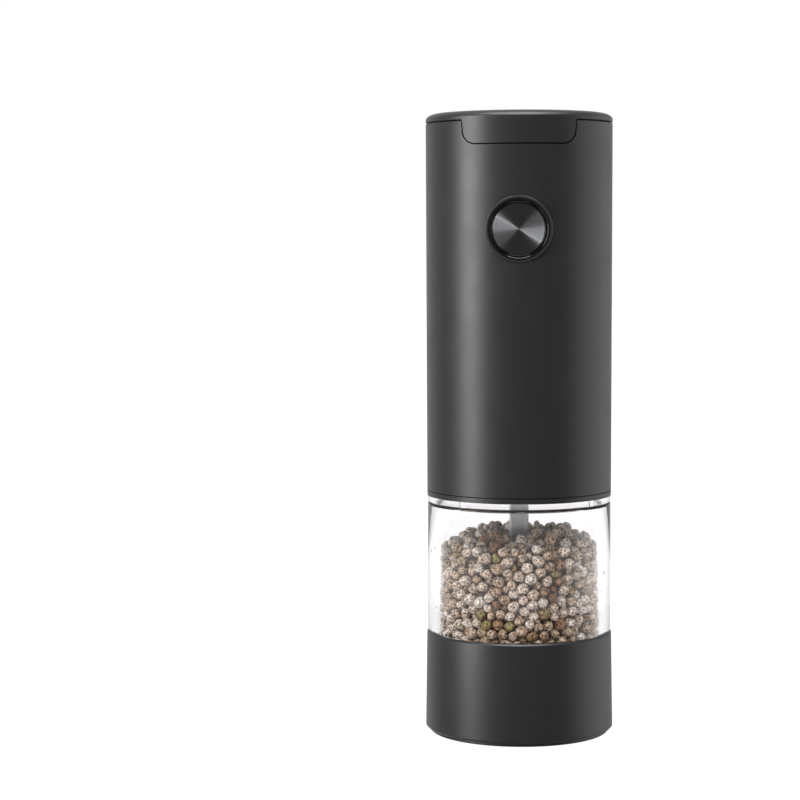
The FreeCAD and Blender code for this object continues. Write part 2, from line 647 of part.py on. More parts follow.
def lid_contacts():
    """Two plates under the lid, each joining a left cell to a right one: a cup meets the nub and a coil
    spring meets the flat end."""
    z0 = LID_INNER_Z
    top_of_cells = CELL_Z + CELL_LENGTH
    solids = []
    for x, y, way in cell_places():
        if x < 0:
            solids.append(box(-9.5, 9.5, y - 3, y + 3, z0 - 0.4, z0))
        if way > 0:
            solids.append(disc(2.0, top_of_cells + 0.85, z0 - 0.4, x, y))
        else:
            solids.append(coil(0.25, 2.6, top_of_cells + 0.05, z0 - 0.4, 3, x, y))
    return solids


def wires():
    """Insulated leads: battery to motor, motor to switch board, and switch board to battery."""
    lug_x, lug_z = 8.6, MOTOR_Z[1] + 2.8
    contact_z = HOLDER_Z[0] + 2.8
    (lx, ly, _), (rx, ry, _) = cell_places()[:2]
    board_y = BOARD_Y - WIRE_R
    (ax, ay), (bx, by) = LEAD_HOLES
    return [
        lead([(lug_x, 0.85, lug_z), (lug_x, 0.9, lug_z + 2.2), (rx + 2.6, ry + 1.3, contact_z - 3.0),
              (rx + 2.55, ry, contact_z - 1.2), (rx + 2.55, ry, contact_z)]),
        lead([(-lug_x, -0.85, lug_z), (-lug_x, -0.9, lug_z + 2.4), (-lug_x, ay + 2.0, lug_z + 2.9),
              (ax, ay, HOLDER_Z[0]), (ax, ay, HOLDER_Z[0] + 5), (-7.4, board_y, 138.4), (-7.4, board_y, 140.2)]),
        lead([(-4.4, board_y, 140.2), (-4.4, board_y, 138.4), (bx, by, HOLDER_Z[0] + 5), (bx, by, HOLDER_Z[0]),
              (bx, by + 2.0, lug_z + 2.9), (lx, ly - 3.6, lug_z + 3.1), (lx, ly - 2.6, HOLDER_Z[0] + 0.4),
              (lx, ly - 2.6, contact_z)]),
    ]


def lead(points):
    """A six-sided wire along a path whose inner corners are rounded."""
    path = [V(*points[0])]
    for before, corner, after in zip(points, points[1:], points[2:]):
        start, middle, end = (V(*p) for p in (before, corner, after))
        first, last = middle + (start - middle) * 0.3, middle + (end - middle) * 0.3
        path += [first, (first + last) * 0.25 + middle * 0.5, last]
    path.append(V(*points[-1]))
    sections = []
    side = V(1, 0, 0)
    for i, at in enumerate(path):
        along = path[min(i + 1, len(path) - 1)] - path[max(i - 1, 0)]
        along.normalize()
        side = side - along * side.dot(along)
        side.normalize()
        other = along.cross(side)
        turns = [math.pi * k / 3 for k in range(6)]
        corners = [at + side * (WIRE_R * math.cos(t)) + other * (WIRE_R * math.sin(t)) for t in turns]
        sections.append(Part.makePolygon(corners + corners[:1]))
    return Part.makeLoft(sections, True, True)


# --- Button -------------------------------------------------------------------------------------------
BEZEL_R = 9.5
BEZEL_BORE = 7.95
BUTTON_R = 7.75
DISC_R = 7.4
FACE_Y = -HEAD_R_TOP + 0.05
BUTTON_TRAVEL = 1.0
SWITCH_TRAVEL = 0.3
BOARD_Y = -14.6
PLUNGER_REACH = 4.7
BOARD_SCREWS = ((-6.6, 8.2), (6.6, -8.2))


def button_bezel():
    tube = rod_y(BEZEL_R, FACE_Y, -21.4)
    front = [e for e in tube.Edges if abs(e.BoundBox.YMax - FACE_Y) < 1e-6 and e.Length > 20]
    tube = tube.makeFillet(0.45, front)
    flange = rod_y(BEZEL_R + 1.6, -22.4, -21.4)
    bezel = tube.fuse(flange).removeSplitter()
    return bezel.cut(rod_y(BEZEL_BORE, -40, 0))


def button_cap():
    face = FACE_Y + 0.15
    body = rod_y(BUTTON_R, face, -20.9)
    front = [e for e in body.Edges if abs(e.BoundBox.YMax - face) < 1e-6 and e.Length > 20]
    body = body.makeChamfer(0.25, front)
    hollow = rod_y(BUTTON_R - 1.2, face + 2.2, -20)
    flange = rod_y(BUTTON_R + 1.1, -21.3, -20.5).cut(rod_y(BUTTON_R - 1.2, -22, -20))
    boss = rod_y(2.2, face + 1.0, BOARD_Y - PLUNGER_REACH - BUTTON_TRAVEL + SWITCH_TRAVEL - 0.02)
    seat = rod_y(DISC_R + 0.03, face - 1, face + 0.55)
    return body.cut(hollow).fuse(flange).fuse(boss).removeSplitter().cut(seat)


def button_disc():
    """Spun aluminium disc in the button's face, very slightly dished, with a bright cut edge."""
    face = FACE_Y + 0.15
    dish = 0.12
    profile = [
        V(0, face + dish, 0), V(DISC_R - 0.35, face, 0), V(DISC_R, face + 0.22, 0), V(DISC_R, face + 0.55, 0),
        V(0, face + 0.55, 0), V(0, face + dish, 0),
    ]
    whole = Part.Face(Part.makePolygon(profile)).revolve(CENTRE, V(0, 1, 0), 360)
    whole.translate(V(0, 0, BUTTON_Z))
    return whole


def button_spring():
    """Coil between the cap's inner face and the switch board."""
    front = FACE_Y + 0.15 + 2.2 + 0.05
    spring = coil(0.25, 5.4, 0, BOARD_Y - 0.05 - front, 5)
    spring.rotate(CENTRE, V(1, 0, 0), 90)
    spring.translate(V(0, BOARD_Y - 0.05, BUTTON_Z))
    return spring


def switch_board():
    board = box(-8.6, 8.6, BOARD_Y, BOARD_Y + 1.2, BUTTON_Z - 10.2, BUTTON_Z + 10.8)
    holes = [rod_y(1.05, BOARD_Y - 1, BOARD_Y + 2, BUTTON_Z + dz, dx) for dx, dz in BOARD_SCREWS]
    return board.cut(Part.makeCompound(holes))


def board_screws():
    made = []
    for dx, dz in BOARD_SCREWS:
        head = rod_y(1.5, BOARD_Y - 1.0, BOARD_Y, BUTTON_Z + dz, dx)
        shank = rod_y(0.7, BOARD_Y, BOARD_Y + 4.4, BUTTON_Z + dz, dx)
        made.append(head.fuse(shank).removeSplitter())
    return made


def switch_body():
    y = BOARD_Y
    body = box(-3, 3, y - 3.4, y, BUTTON_Z - 3, BUTTON_Z + 3)
    return body.cut(rod_y(1.85, y - 5, y - 1.4))


def switch_plunger():
    return rod_y(1.75, BOARD_Y - PLUNGER_REACH, BOARD_Y - 1.9)


# --- Gear motor ---------------------------------------------------------------------------------------
GEARBOX_R = 17.0
GEARBOX_Z = (73.2, 88.0)
STAGE2_Z = (77.2, 80.8)
STAGE1_Z = (83.0, 86.4)
CARRIER_T = 1.5
PIN_R = 1.2
MOTOR_R = 12.1
MOTOR_Z = (89.7, 118.6)
GEARBOX_LID_Z = (88.0, 89.6)


def gearbox_case():
    """Cup with the fixed ring gear in its wall and a bush seat in its floor."""
    z0, z1 = GEARBOX_Z
    pitch_r = GEAR_MODULE * RING_TEETH / 2
    floor = 1.6
    body = disc(GEARBOX_R, z0, z1)
    space = gear_outline(RING_TEETH, pitch_r - 0.8 * GEAR_MODULE, pitch_r + 1.25 * GEAR_MODULE, BACKLASH)
    space = space.extrude(V(0, 0, z1))
    space.translate(V(0, 0, z0 + floor + 1.8))
    chamber = disc(pitch_r - 0.8 * GEAR_MODULE - 0.2, z0 + floor, z1 + 1)
    lugs = around(disc(2.4, z0, z1, GEARBOX_R - 0.4, 0), thirds(90))
    pilots = around(disc(0.8, z1 - 6, z1 + 1, GEARBOX_R - 0.2, 0), thirds(90))
    whole = fused([body] + lugs).cut(space).cut(chamber).cut(disc(6.0, 60, 80))
    return whole.cut(Part.makeCompound(pilots))


def output_bush():
    return ring(5.95, 4.75, GEARBOX_Z[0] - 0.4, GEARBOX_Z[0] + 1.5)


def carrier(z_plate, pin_top, hub):
    """A planet carrier: a plate with three pins up, fused to a hub below."""
    plate = disc(11.4, z_plate, z_plate + CARRIER_T)
    pin = disc(PIN_R, z_plate + 0.5, pin_top, GEAR_CENTRES, 0)
    return fused([plate, hub] + around(pin, thirds()))


def output_carrier():
    z = STAGE2_Z[0] - 0.3 - CARRIER_T
    hub = disc(4.65, HEAD_FLOOR_Z[1] + 0.1, z + 0.5)
    body = carrier(z, STAGE2_Z[1] + 0.1, hub)
    return body.cut(square_bar(SHAFT_HALF + 0.01, SHAFT_CHAMFER, 60, SHAFT_Z[1]))


def stage_carrier():
    z = STAGE1_Z[0] - 0.3 - CARRIER_T
    sun = turned(toothed(SUN_TEETH, STAGE2_Z[0], z + 0.5, 0), 180 / SUN_TEETH)
    return carrier(z, STAGE1_Z[1] + 0.1, sun)


def planets(z0, z1):
    """Three planet gears in mesh with sun and ring, each in its place round the axis."""
    gear = toothed(PLANET_TEETH, z0, z1, PIN_R + 0.06)
    gear.translate(V(GEAR_CENTRES, 0, 0))
    return around(gear, thirds())


def motor_pinion():
    pinion = toothed(SUN_TEETH, STAGE1_Z[0] - 0.1, STAGE1_Z[1] + 0.2, 1.0)
    return turned(pinion, 180 / SUN_TEETH)


def motor_shaft():
    return disc(1.0, STAGE1_Z[0] - 0.1, MOTOR_Z[1] + 1.6)


def motor_can():
    z0, z1 = MOTOR_Z
    can = disc(MOTOR_R, z0, z1).cut(disc(MOTOR_R - 0.9, z0 + 0.9, z1 + 1))
    boss = ring(3.0, 1.2, z0 - 1.4, z0 + 1.4)
    pilots = [disc(1.0, z0 - 1, z0 + 2, s * 8.0, 0) for s in (-1, 1)]
    return can.fuse(boss).removeSplitter().cut(disc(1.2, z0 - 3, z0 + 3)).cut(Part.makeCompound(pilots))


def motor_magnets():
    shell = ring(MOTOR_R - 0.95, MOTOR_R - 3.0, MOTOR_Z[0] + 5, MOTOR_Z[1] - 5)
    halves = [shell.common(box(-7.5, 7.5, 0.1, 20, 60, 130)), shell.common(box(-7.5, 7.5, -20, -0.1, 60, 130))]
    return halves


def motor_armature():
    """Three-pole core with its windings as plain lobes, and the commutator above it."""
    z0, z1 = MOTOR_Z[0] + 6, MOTOR_Z[1] - 7
    stem = disc(3.0, z0 - 0.6, z1 + 3.4)
    pole = ring(8.6, 7.4, z0, z1).common(turned(box(0, 12, -12, 12, z0, z1), 0))
    pole = pole.cut(turned(box(-2, 14, 0, 14, z0 - 1, z1 + 1), 48)).cut(turned(box(-2, 14, -14, 0, z0 - 1, z1 + 1), -48))
    spoke = box(2, 7.6, -1.1, 1.1, z0, z1)
    winding = box(3.3, 7.0, -2.9, 2.9, z0 - 0.5, z1 + 0.5)
    arms = around(pole.fuse(spoke).fuse(winding), thirds(0))
    return fused([stem] + arms).cut(disc(1.02, 60, 140))


def motor_end_cap():
    z = MOTOR_Z[1]
    cap = disc(MOTOR_R - 1.0, z - 2.0, z).fuse(disc(MOTOR_R, z, z + 1.2))
    boss = disc(3.0, z + 1.0, z + 2.4)
    lugs = [box(s * 8.6 - 1.1, s * 8.6 + 1.1, -0.3, 0.3, z + 1.0, z + 4.6) for s in (-1, 1)]
    return fused([cap, boss] + lugs).cut(disc(1.2, z - 4, z + 1.9))


def gearbox_lid():
    z0, z1 = GEARBOX_LID_Z
    plate = fused([disc(GEARBOX_R, z0, z1)] + around(disc(2.4, z0, z1, GEARBOX_R - 0.4, 0), thirds(90)))
    holes = around(disc(1.0, z0 - 1, z1 + 1, GEARBOX_R - 0.2, 0), thirds(90))
    holes += [disc(1.3, z0 - 1, z1 + 1, s * 8.0, 0) for s in (-1, 1)]
    return plate.cut(Part.makeCompound(holes)).cut(disc(4.6, z0 - 1, z1 + 1))


def gearbox_screws():
    z = GEARBOX_LID_Z[1]
    head = disc(1.8, z, z + 1.3, GEARBOX_R - 0.2, 0)
    shank = disc(0.8, z - 7.0, z, GEARBOX_R - 0.2, 0)
    slot = box(GEARBOX_R - 1.4, GEARBOX_R + 1.0, -0.25, 0.25, z + 0.8, z + 2)
    return around(head.fuse(shank).removeSplitter().cut(slot), thirds(90))


def motor_screws():
    """Two flat-headed screws from inside the gearbox up into the motor's face."""
    z0, z1 = GEARBOX_LID_Z
    return [disc(1.0, z0 - 0.3, z1 + 0.9, s * 8.0, 0).fuse(disc(1.7, z0 - 0.9, z0, s * 8.0, 0)).removeSplitter()
            for s in (-1, 1)]


def chassis():
    """Frame between the collar and the battery holder: three columns, a hoop, a clamp round the motor,
    and fingers that hold the gearbox down."""
    z0, z1 = SOCKET_TOP_Z + 1.6, HOLDER_Z[0]
    r_out = SHELL_R_IN - 0.3
    gearbox_top = GEARBOX_LID_Z[1] + 0.1
    column = fused([
        disc(2.6, z0, z1, POST_AT + 0.9, 0),
        box(POST_AT + 1.0, r_out, -1.0, 1.0, z0, z1),
        box(POST_AT - 4.0, POST_AT, -2.2, 2.2, gearbox_top, gearbox_top + 2.6),
    ])
    column = column.common(disc(r_out, z0, z1)).cut(disc(GEARBOX_R + 0.1, z0 - 1, gearbox_top))
    clamp = ring(MOTOR_R + 1.9, MOTOR_R + 0.1, 100, 112)
    fin = box(MOTOR_R + 1.0, POST_AT, -0.9, 0.9, 100, 112)
    hoops = [ring(r_out, r_out - 3.1, z1 - 2.4, z1), ring(r_out, r_out - 3.1, 94, 97)]
    frame = fused(around(column, POST_ANGLES) + around(fin, POST_ANGLES) + [clamp] + hoops)
    pilots = around(disc(0.9, z0 - 1, z1 + 1, POST_AT, 0), POST_ANGLES)
    return frame.cut(Part.makeCompound(pilots))


def chassis_screws():
    """Three screws through the battery holder's floor into the chassis columns."""
    z = HOLDER_Z[0] + 1.6
    head = disc(2.0, z, z + 1.6, POST_AT, 0)
    shank = disc(0.85, z - 7.0, z, POST_AT, 0)
    slot = box(POST_AT - 1.2, POST_AT + 1.2, -0.3, 0.3, z + 1.0, z + 2)
    return around(head.fuse(shank).removeSplitter().cut(slot), POST_ANGLES)


# --- Build --------------------------------------------------------------------------------------------
save("base_shell", base_shell())
save("foot_ring", foot_ring())
save("burr_housing", burr_housing())
save("feed_bell", bell())
save("hub_bush", hub_bush())
save("outer_burr", outer_burr())
save("inner_burr", inner_burr())
save("burr_stem", burr_stem())
save("burr_spring", burr_spring())
save("spring_seat", spring_seat())
save("stem_screw", stem_screw())
save("bottom_spider", bottom_spider())
save("spider_screws", *spider_screws())
save("adjust_knob", adjust_knob())
save("lift_cup", lift_cup())
save("jar", jar())
save("mouth_gasket", mouth_gasket())
save("pepper_fill", pepper_fill())

save("lock_ring", lock_ring())
save("socket_collar", socket_collar())
save("shaft_seal", shaft_seal())
save("drive_shaft", drive_shaft())
save("body_shell", body_shell())
save("hinge_pin", hinge_pin())
save("lid", lid())
save("lid_contacts", *lid_contacts())
save("battery_cells", *battery_cells())
save("battery_holder", battery_holder())
save("battery_contacts", *bottom_contacts())

save("button_bezel", button_bezel())
save("button_cap", button_cap())
save("button_disc", button_disc())
save("button_spring", button_spring())
save("switch_board", switch_board())
save("board_screws", *board_screws())
save("switch_body", switch_body())
save("switch_plunger", switch_plunger())

save("gearbox_case", gearbox_case())
save("output_bush", output_bush())
save("output_carrier", output_carrier())
save("stage_carrier", stage_carrier())
for number, gear in enumerate(planets(*STAGE2_Z), 1):
    save(f"low_planet_{number}", gear)
for number, gear in enumerate(planets(*STAGE1_Z), 1):
    save(f"high_planet_{number}", gear)
save("motor_pinion", motor_pinion())
save("motor_shaft", motor_shaft())
save("motor_can", motor_can())
save("motor_magnets", *motor_magnets())
save("motor_armature", motor_armature())
save("motor_end_cap", motor_end_cap())
save("gearbox_lid", gearbox_lid())
save("gearbox_screws", *gearbox_screws())
save("motor_screws", *motor_screws())
save("chassis", chassis())
save("chassis_screws", *chassis_screws())
save("collar_screws", *collar_screws())
save("wires", *wires())
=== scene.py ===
# %% [markdown]
# # A battery pepper mill
# This lesson dresses a finished CAD model of an electric pepper mill. The mill is a tall black cylinder with
# a round metal push button, a clear jar of peppercorns below it and a black grinder base. The CAD pieces
# hold every size and joint. Blender gives the outside its smooth surfaces, the peppercorns, and every piece
# its finish.

# %% Load the CAD frame
import json
import math

import bmesh
import bpy
import numpy as np
from mathutils import Matrix, Vector


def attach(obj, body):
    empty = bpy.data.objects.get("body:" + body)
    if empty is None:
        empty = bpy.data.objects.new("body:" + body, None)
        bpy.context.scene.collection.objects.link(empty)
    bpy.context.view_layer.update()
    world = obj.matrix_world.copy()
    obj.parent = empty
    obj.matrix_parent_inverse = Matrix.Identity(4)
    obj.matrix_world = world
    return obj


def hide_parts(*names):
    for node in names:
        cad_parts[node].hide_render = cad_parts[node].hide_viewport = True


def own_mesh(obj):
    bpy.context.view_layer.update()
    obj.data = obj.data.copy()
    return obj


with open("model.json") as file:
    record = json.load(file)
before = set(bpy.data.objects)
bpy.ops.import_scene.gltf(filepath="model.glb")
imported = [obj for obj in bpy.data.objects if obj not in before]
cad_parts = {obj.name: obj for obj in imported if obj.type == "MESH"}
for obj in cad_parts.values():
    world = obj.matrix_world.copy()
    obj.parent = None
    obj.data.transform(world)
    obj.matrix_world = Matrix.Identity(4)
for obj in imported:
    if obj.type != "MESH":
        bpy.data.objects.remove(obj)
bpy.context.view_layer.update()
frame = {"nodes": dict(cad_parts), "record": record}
MM = 0.001

# %% [markdown]
# ## The camera
# Product cameras stand back and use a long lens, so that a tall object keeps parallel sides. Ours is 0.68 m
# away at the height of the button, tipped down a little and turned left, so the mill stands right of the
# middle. The small roll keeps the mill's axis upright in the frame.

# %% Camera
CAMERA_AT = Vector((0.0, -0.6802, 0.1451))
PAN_LEFT, TILT_DOWN, ROLL = math.radians(2.925), math.radians(4.038), math.radians(-0.206)
camera_data = bpy.data.cameras.new("product_camera")
camera_data.sensor_width = 36.0
camera_data.lens = 105.08
camera = bpy.data.objects.new("product_camera", camera_data)
bpy.context.scene.collection.objects.link(camera)
aim = Vector((-math.sin(PAN_LEFT) * math.cos(TILT_DOWN), math.cos(PAN_LEFT) * math.cos(TILT_DOWN),
              -math.sin(TILT_DOWN)))
camera.rotation_mode = "QUATERNION"
camera.rotation_quaternion = aim.to_track_quat("-Z", "Y") @ Matrix.Rotation(ROLL, 4, "Z").to_quaternion()
camera.location = CAMERA_AT
bpy.context.scene.camera = camera
bpy.context.scene.view_settings.view_transform = "Standard"
print("camera distance in mm:", round(CAMERA_AT.length / MM))


# %% [markdown]
# ## A small node helper
# Shader and geometry trees are long to write by hand. One function adds a node, sets its options and fills
# or links its inputs. Colours are written as the hex values that a paint chart gives, and one function turns
# them into the linear numbers that a renderer needs.

# %% Node and colour helpers
def add(tree, kind, options=None, **inputs):
    """Adds a node. options are its settings, and inputs are values or sockets by socket name."""
    node = tree.nodes.new(kind)
    for key, value in (options or {}).items():
        setattr(node, key, value)
    for key, value in inputs.items():
        socket = node.inputs[int(key[1:])] if key[0] == "_" else node.inputs[key.replace("_", " ")]
        if isinstance(value, bpy.types.NodeSocket):
            tree.links.new(value, socket)
        else:
            socket.default_value = value
    return node


def colour(code):
    """sRGB hex to linear RGBA."""
    parts = [int(code[i:i + 2], 16) / 255 for i in (1, 3, 5)]
    return [c / 12.92 if c <= 0.04045 else ((c + 0.055) / 1.055) ** 2.4 for c in parts] + [1.0]


def blank(name):
    """A new material: its tree, its Principled shader, and object coordinates in metres."""
    material = bpy.data.materials.new(name)
    material.use_nodes = True
    tree = material.node_tree
    shader = tree.nodes["Principled BSDF"]
    place = add(tree, "ShaderNodeTexCoord").outputs["Object"]
    return material, tree, shader, place


def per_mm(size):
    """Texture scale for a feature of this size in mm, on coordinates in metres."""
    return 1 / (size * MM)


def feed(tree, shader, **outputs):
    """Links node outputs to the shader's sockets, by socket name."""
    for name, output in outputs.items():
        tree.links.new(output, shader.inputs[name.replace("_", " ")])


print("black in linear:", [round(c, 4) for c in colour("#1d1d1f")[:3]])


# %% [markdown]
# ## Moulded plastics
# The shell, base and lid are ABS from a finely spark-textured mould. The texture breaks reflections into a
# soft satin glow. The same function serves every moulded piece, because only colour, gloss and grain size
# change. Slow noise shifts the gloss slightly, as handling and flow marks do, and fine noise gives the bump.

# %% Moulded plastics
def moulded(name, hex_code, roughness, grain, depth, ior=1.5, patch=9.0):
    """Plastic from a textured mould. grain and patch are feature sizes in mm, and depth is in mm."""
    material, tree, shader, place = blank(name)
    slow = add(tree, "ShaderNodeTexNoise", Vector=place, Scale=per_mm(patch), Detail=2.0)
    fine = add(tree, "ShaderNodeTexNoise", Vector=place, Scale=per_mm(grain), Detail=1.0)
    gloss = add(tree, "ShaderNodeMapRange", Value=slow.outputs["Fac"], From_Min=0.3, From_Max=0.7,
                To_Min=roughness * 0.94, To_Max=roughness * 1.06)
    tint = add(tree, "ShaderNodeMapRange", Value=fine.outputs["Fac"], From_Min=0.3, From_Max=0.7,
               To_Min=0.92, To_Max=1.08)
    base = add(tree, "ShaderNodeVectorMath", {"operation": "SCALE"}, _0=colour(hex_code)[:3],
               Scale=tint.outputs["Result"])
    bump = add(tree, "ShaderNodeBump", Strength=0.5, Distance=depth * MM, Height=fine.outputs["Fac"])
    feed(tree, shader, Base_Color=base.outputs["Vector"], Roughness=gloss.outputs["Result"],
         Normal=bump.outputs["Normal"])
    shader.inputs["IOR"].default_value = ior
    return material


finishes = {
    # spark-textured ABS: real grain is near 0.1 mm, drawn at 0.35 mm so that it shows
    "satin_black_abs": moulded("satin_black_ABS", "#1e1e20", 0.40, 0.35, 0.004),
    "black_abs_inner": moulded("matt_black_ABS", "#232325", 0.55, 0.5, 0.01),
    # glass-filled nylon: the fibres leave a slightly streaky matt skin
    "black_nylon": moulded("glass_filled_black_nylon", "#1b1b1c", 0.62, 0.6, 0.012),
    # acetal gears are milky and slick
    "acetal_natural": moulded("natural_acetal", "#dedccf", 0.32, 1.2, 0.004),
    "black_silicone": moulded("black_silicone_rubber", "#161617", 0.68, 0.4, 0.01, ior=1.43),
    "red_pvc": moulded("red_PVC_insulation", "#b3201c", 0.35, 0.8, 0.003),
    "cell_sleeve": moulded("printed_cell_sleeve", "#2b2d31", 0.28, 3.0, 0.002),
    # fired zirconia-white ceramic: matt and very even
    "white_ceramic": moulded("fired_white_ceramic", "#e4e0d6", 0.48, 0.3, 0.008, ior=1.6),
    "ferrite": moulded("sintered_ferrite", "#2c2c2f", 0.5, 0.3, 0.01),
    "circuit_board": moulded("green_solder_mask", "#1d5a38", 0.3, 2.5, 0.004),
}
print("plastics:", ", ".join(sorted(finishes)))


# %% [markdown]
# ## Metals
# Drawn, plated and sintered metals differ mostly in colour and in how the tool marks run. The marks are
# noise squeezed along one direction by a Mapping node, so they become long streaks. Metals keep the default
# index of refraction.

# %% Metals
def worked_metal(name, hex_code, roughness, streak, depth, anisotropy=0.0):
    """Metal with tool marks. streak is the size of a mark along X, Y and Z in mm, and depth is in mm."""
    material, tree, shader, place = blank(name)
    stretched = add(tree, "ShaderNodeMapping", Vector=place, Scale=[per_mm(s) for s in streak])
    marks = add(tree, "ShaderNodeTexNoise", Vector=stretched.outputs["Vector"], Scale=1.0, Detail=3.0)
    gloss = add(tree, "ShaderNodeMapRange", Value=marks.outputs["Fac"], From_Min=0.3, From_Max=0.7,
                To_Min=roughness * 0.8, To_Max=roughness * 1.2)
    shade = add(tree, "ShaderNodeMapRange", Value=marks.outputs["Fac"], From_Min=0.25, From_Max=0.75,
                To_Min=0.88, To_Max=1.0)
    base = add(tree, "ShaderNodeVectorMath", {"operation": "SCALE"}, _0=colour(hex_code)[:3],
               Scale=shade.outputs["Result"])
    bump = add(tree, "ShaderNodeBump", Strength=0.4, Distance=depth * MM, Height=marks.outputs["Fac"])
    feed(tree, shader, Base_Color=base.outputs["Vector"], Roughness=gloss.outputs["Result"],
         Normal=bump.outputs["Normal"])
    shader.inputs["Metallic"].default_value = 1.0
    shader.inputs["Anisotropic"].default_value = anisotropy
    return material


finishes.update({
    "drawn_bar_steel": worked_metal("drawn_steel_bar", "#a9a9aa", 0.38, (0.3, 0.3, 9.0), 0.004),
    "zinc_plated_steel": worked_metal("zinc_plated_steel", "#b8bcc0", 0.3, (0.8, 0.8, 0.8), 0.003),
    "spring_steel": worked_metal("spring_wire", "#8f8f90", 0.3, (0.5, 0.5, 0.5), 0.003),
    "nickel_plate": worked_metal("nickel_plated_steel", "#c3beb4", 0.25, (1.5, 1.5, 0.6), 0.002),
    "sintered_bronze": worked_metal("sintered_bronze", "#9a7446", 0.5, (0.25, 0.25, 0.25), 0.01),
    "copper_winding": worked_metal("enamelled_copper_wire", "#a8623a", 0.3, (3.0, 3.0, 0.25), 0.03),
})
print("finishes so far:", len(finishes))

# %% [markdown]
# ## The spun button face
# The button is aluminium turned on a lathe with a soft brush held against it, which leaves fine rings. Light
# across the rings spreads out and light along them doesn't, so two bright wedges meet at the middle like a
# bow tie. An anisotropic shader with a tangent that runs round the axis gives that. Faint rings in the bump
# and the gloss keep the wedges streaky, as real ones are. The ring round the button is polished inside and
# textured like the shell on its outer bevel, so only its inner part looks black.

# %% Spun aluminium
BUTTON_Z = 146.7        # height of the button's axis in mm


def off_axis(tree, place):
    """Distance from the button's axis, in metres."""
    centred = add(tree, "ShaderNodeMapping", Vector=place, Location=(0, 0, -BUTTON_Z * MM))
    flat = add(tree, "ShaderNodeVectorMath", {"operation": "MULTIPLY"}, _0=centred.outputs["Vector"],
               _1=(1, 0, 1))
    return add(tree, "ShaderNodeVectorMath", {"operation": "LENGTH"}, _0=flat.outputs["Vector"]).outputs["Value"]


def spun_aluminium():
    material, tree, shader, place = blank("spun_brushed_aluminium")
    # real rings are 0.05 mm apart; these are 0.18 mm so that they show
    rings = add(tree, "ShaderNodeTexNoise", {"noise_dimensions": "1D"}, W=off_axis(tree, place),
                Scale=per_mm(0.18), Detail=3.0)
    gloss = add(tree, "ShaderNodeMapRange", Value=rings.outputs["Fac"], From_Min=0.3, From_Max=0.7,
                To_Min=0.30, To_Max=0.36)
    shade = add(tree, "ShaderNodeMapRange", Value=rings.outputs["Fac"], From_Min=0.25, From_Max=0.75,
                To_Min=0.9, To_Max=1.0)
    base = add(tree, "ShaderNodeVectorMath", {"operation": "SCALE"}, _0=colour("#727375")[:3],
               Scale=shade.outputs["Result"])
    bump = add(tree, "ShaderNodeBump", Strength=0.1, Distance=0.002 * MM, Height=rings.outputs["Fac"])
    round_axis = add(tree, "ShaderNodeTangent", {"direction_type": "RADIAL", "axis": "Y"})
    feed(tree, shader, Base_Color=base.outputs["Vector"], Roughness=gloss.outputs["Result"],
         Normal=bump.outputs["Normal"], Tangent=round_axis.outputs["Tangent"])
    shader.inputs["Metallic"].default_value = 1.0
    shader.inputs["Anisotropic"].default_value = 1.0
    shader.inputs["Anisotropic Rotation"].default_value = 0.25      # the blur runs across the rings
    return material


POLISHED_TO, TEXTURED_FROM = 8.65, 8.85        # radii in mm on the ring


def polished_ring():
    """Black ABS, polished round the button and textured like the shell on its outer bevel."""
    material, tree, shader, place = blank("polished_black_ABS")
    outer = add(tree, "ShaderNodeMapRange", Value=off_axis(tree, place), From_Min=POLISHED_TO * MM,
                From_Max=TEXTURED_FROM * MM)
    smear = add(tree, "ShaderNodeTexNoise", Vector=place, Scale=per_mm(1.5), Detail=2.0)
    gloss = add(tree, "ShaderNodeMath", {"operation": "MULTIPLY_ADD"}, _0=smear.outputs["Fac"], _1=0.04,
                _2=0.05)
    rough = add(tree, "ShaderNodeMapRange", Value=outer.outputs["Result"], To_Min=gloss.outputs["Value"],
                To_Max=0.4)
    tone = add(tree, "ShaderNodeMix", {"data_type": "RGBA"}, _0=outer.outputs["Result"], _6=colour("#0c0c0d"),
               _7=colour("#222224"))
    feed(tree, shader, Base_Color=tone.outputs[2], Roughness=rough.outputs["Result"])
    return material


finishes["spun_aluminium"] = spun_aluminium()
finishes["gloss_black_abs"] = polished_ring()
print("button finishes:", finishes["spun_aluminium"].name, finishes["gloss_black_abs"].name)

# %% [markdown]
# ## Clear acrylic
# The jar is clear acrylic with a 3.5 mm wall. It is a real closed shell here, so its two surfaces bend the
# light as the real ones do and its edges go grey. A trace of noise in the gloss stands for the haze that
# pepper dust leaves.

# %% Clear acrylic
def clear_acrylic():
    material, tree, shader, place = blank("clear_acrylic")
    dust = add(tree, "ShaderNodeTexNoise", Vector=place, Scale=per_mm(4.0), Detail=4.0)
    haze = add(tree, "ShaderNodeMapRange", Value=dust.outputs["Fac"], From_Min=0.35, From_Max=0.75,
               To_Min=0.0, To_Max=0.035)
    feed(tree, shader, Roughness=haze.outputs["Result"])
    shader.inputs["Base Color"].default_value = colour("#fbfafb")
    shader.inputs["IOR"].default_value = 1.49
    shader.inputs["Transmission Weight"].default_value = 1.0
    return material


finishes["clear_acrylic"] = clear_acrylic()
print("clear piece finish:", finishes["clear_acrylic"].name)
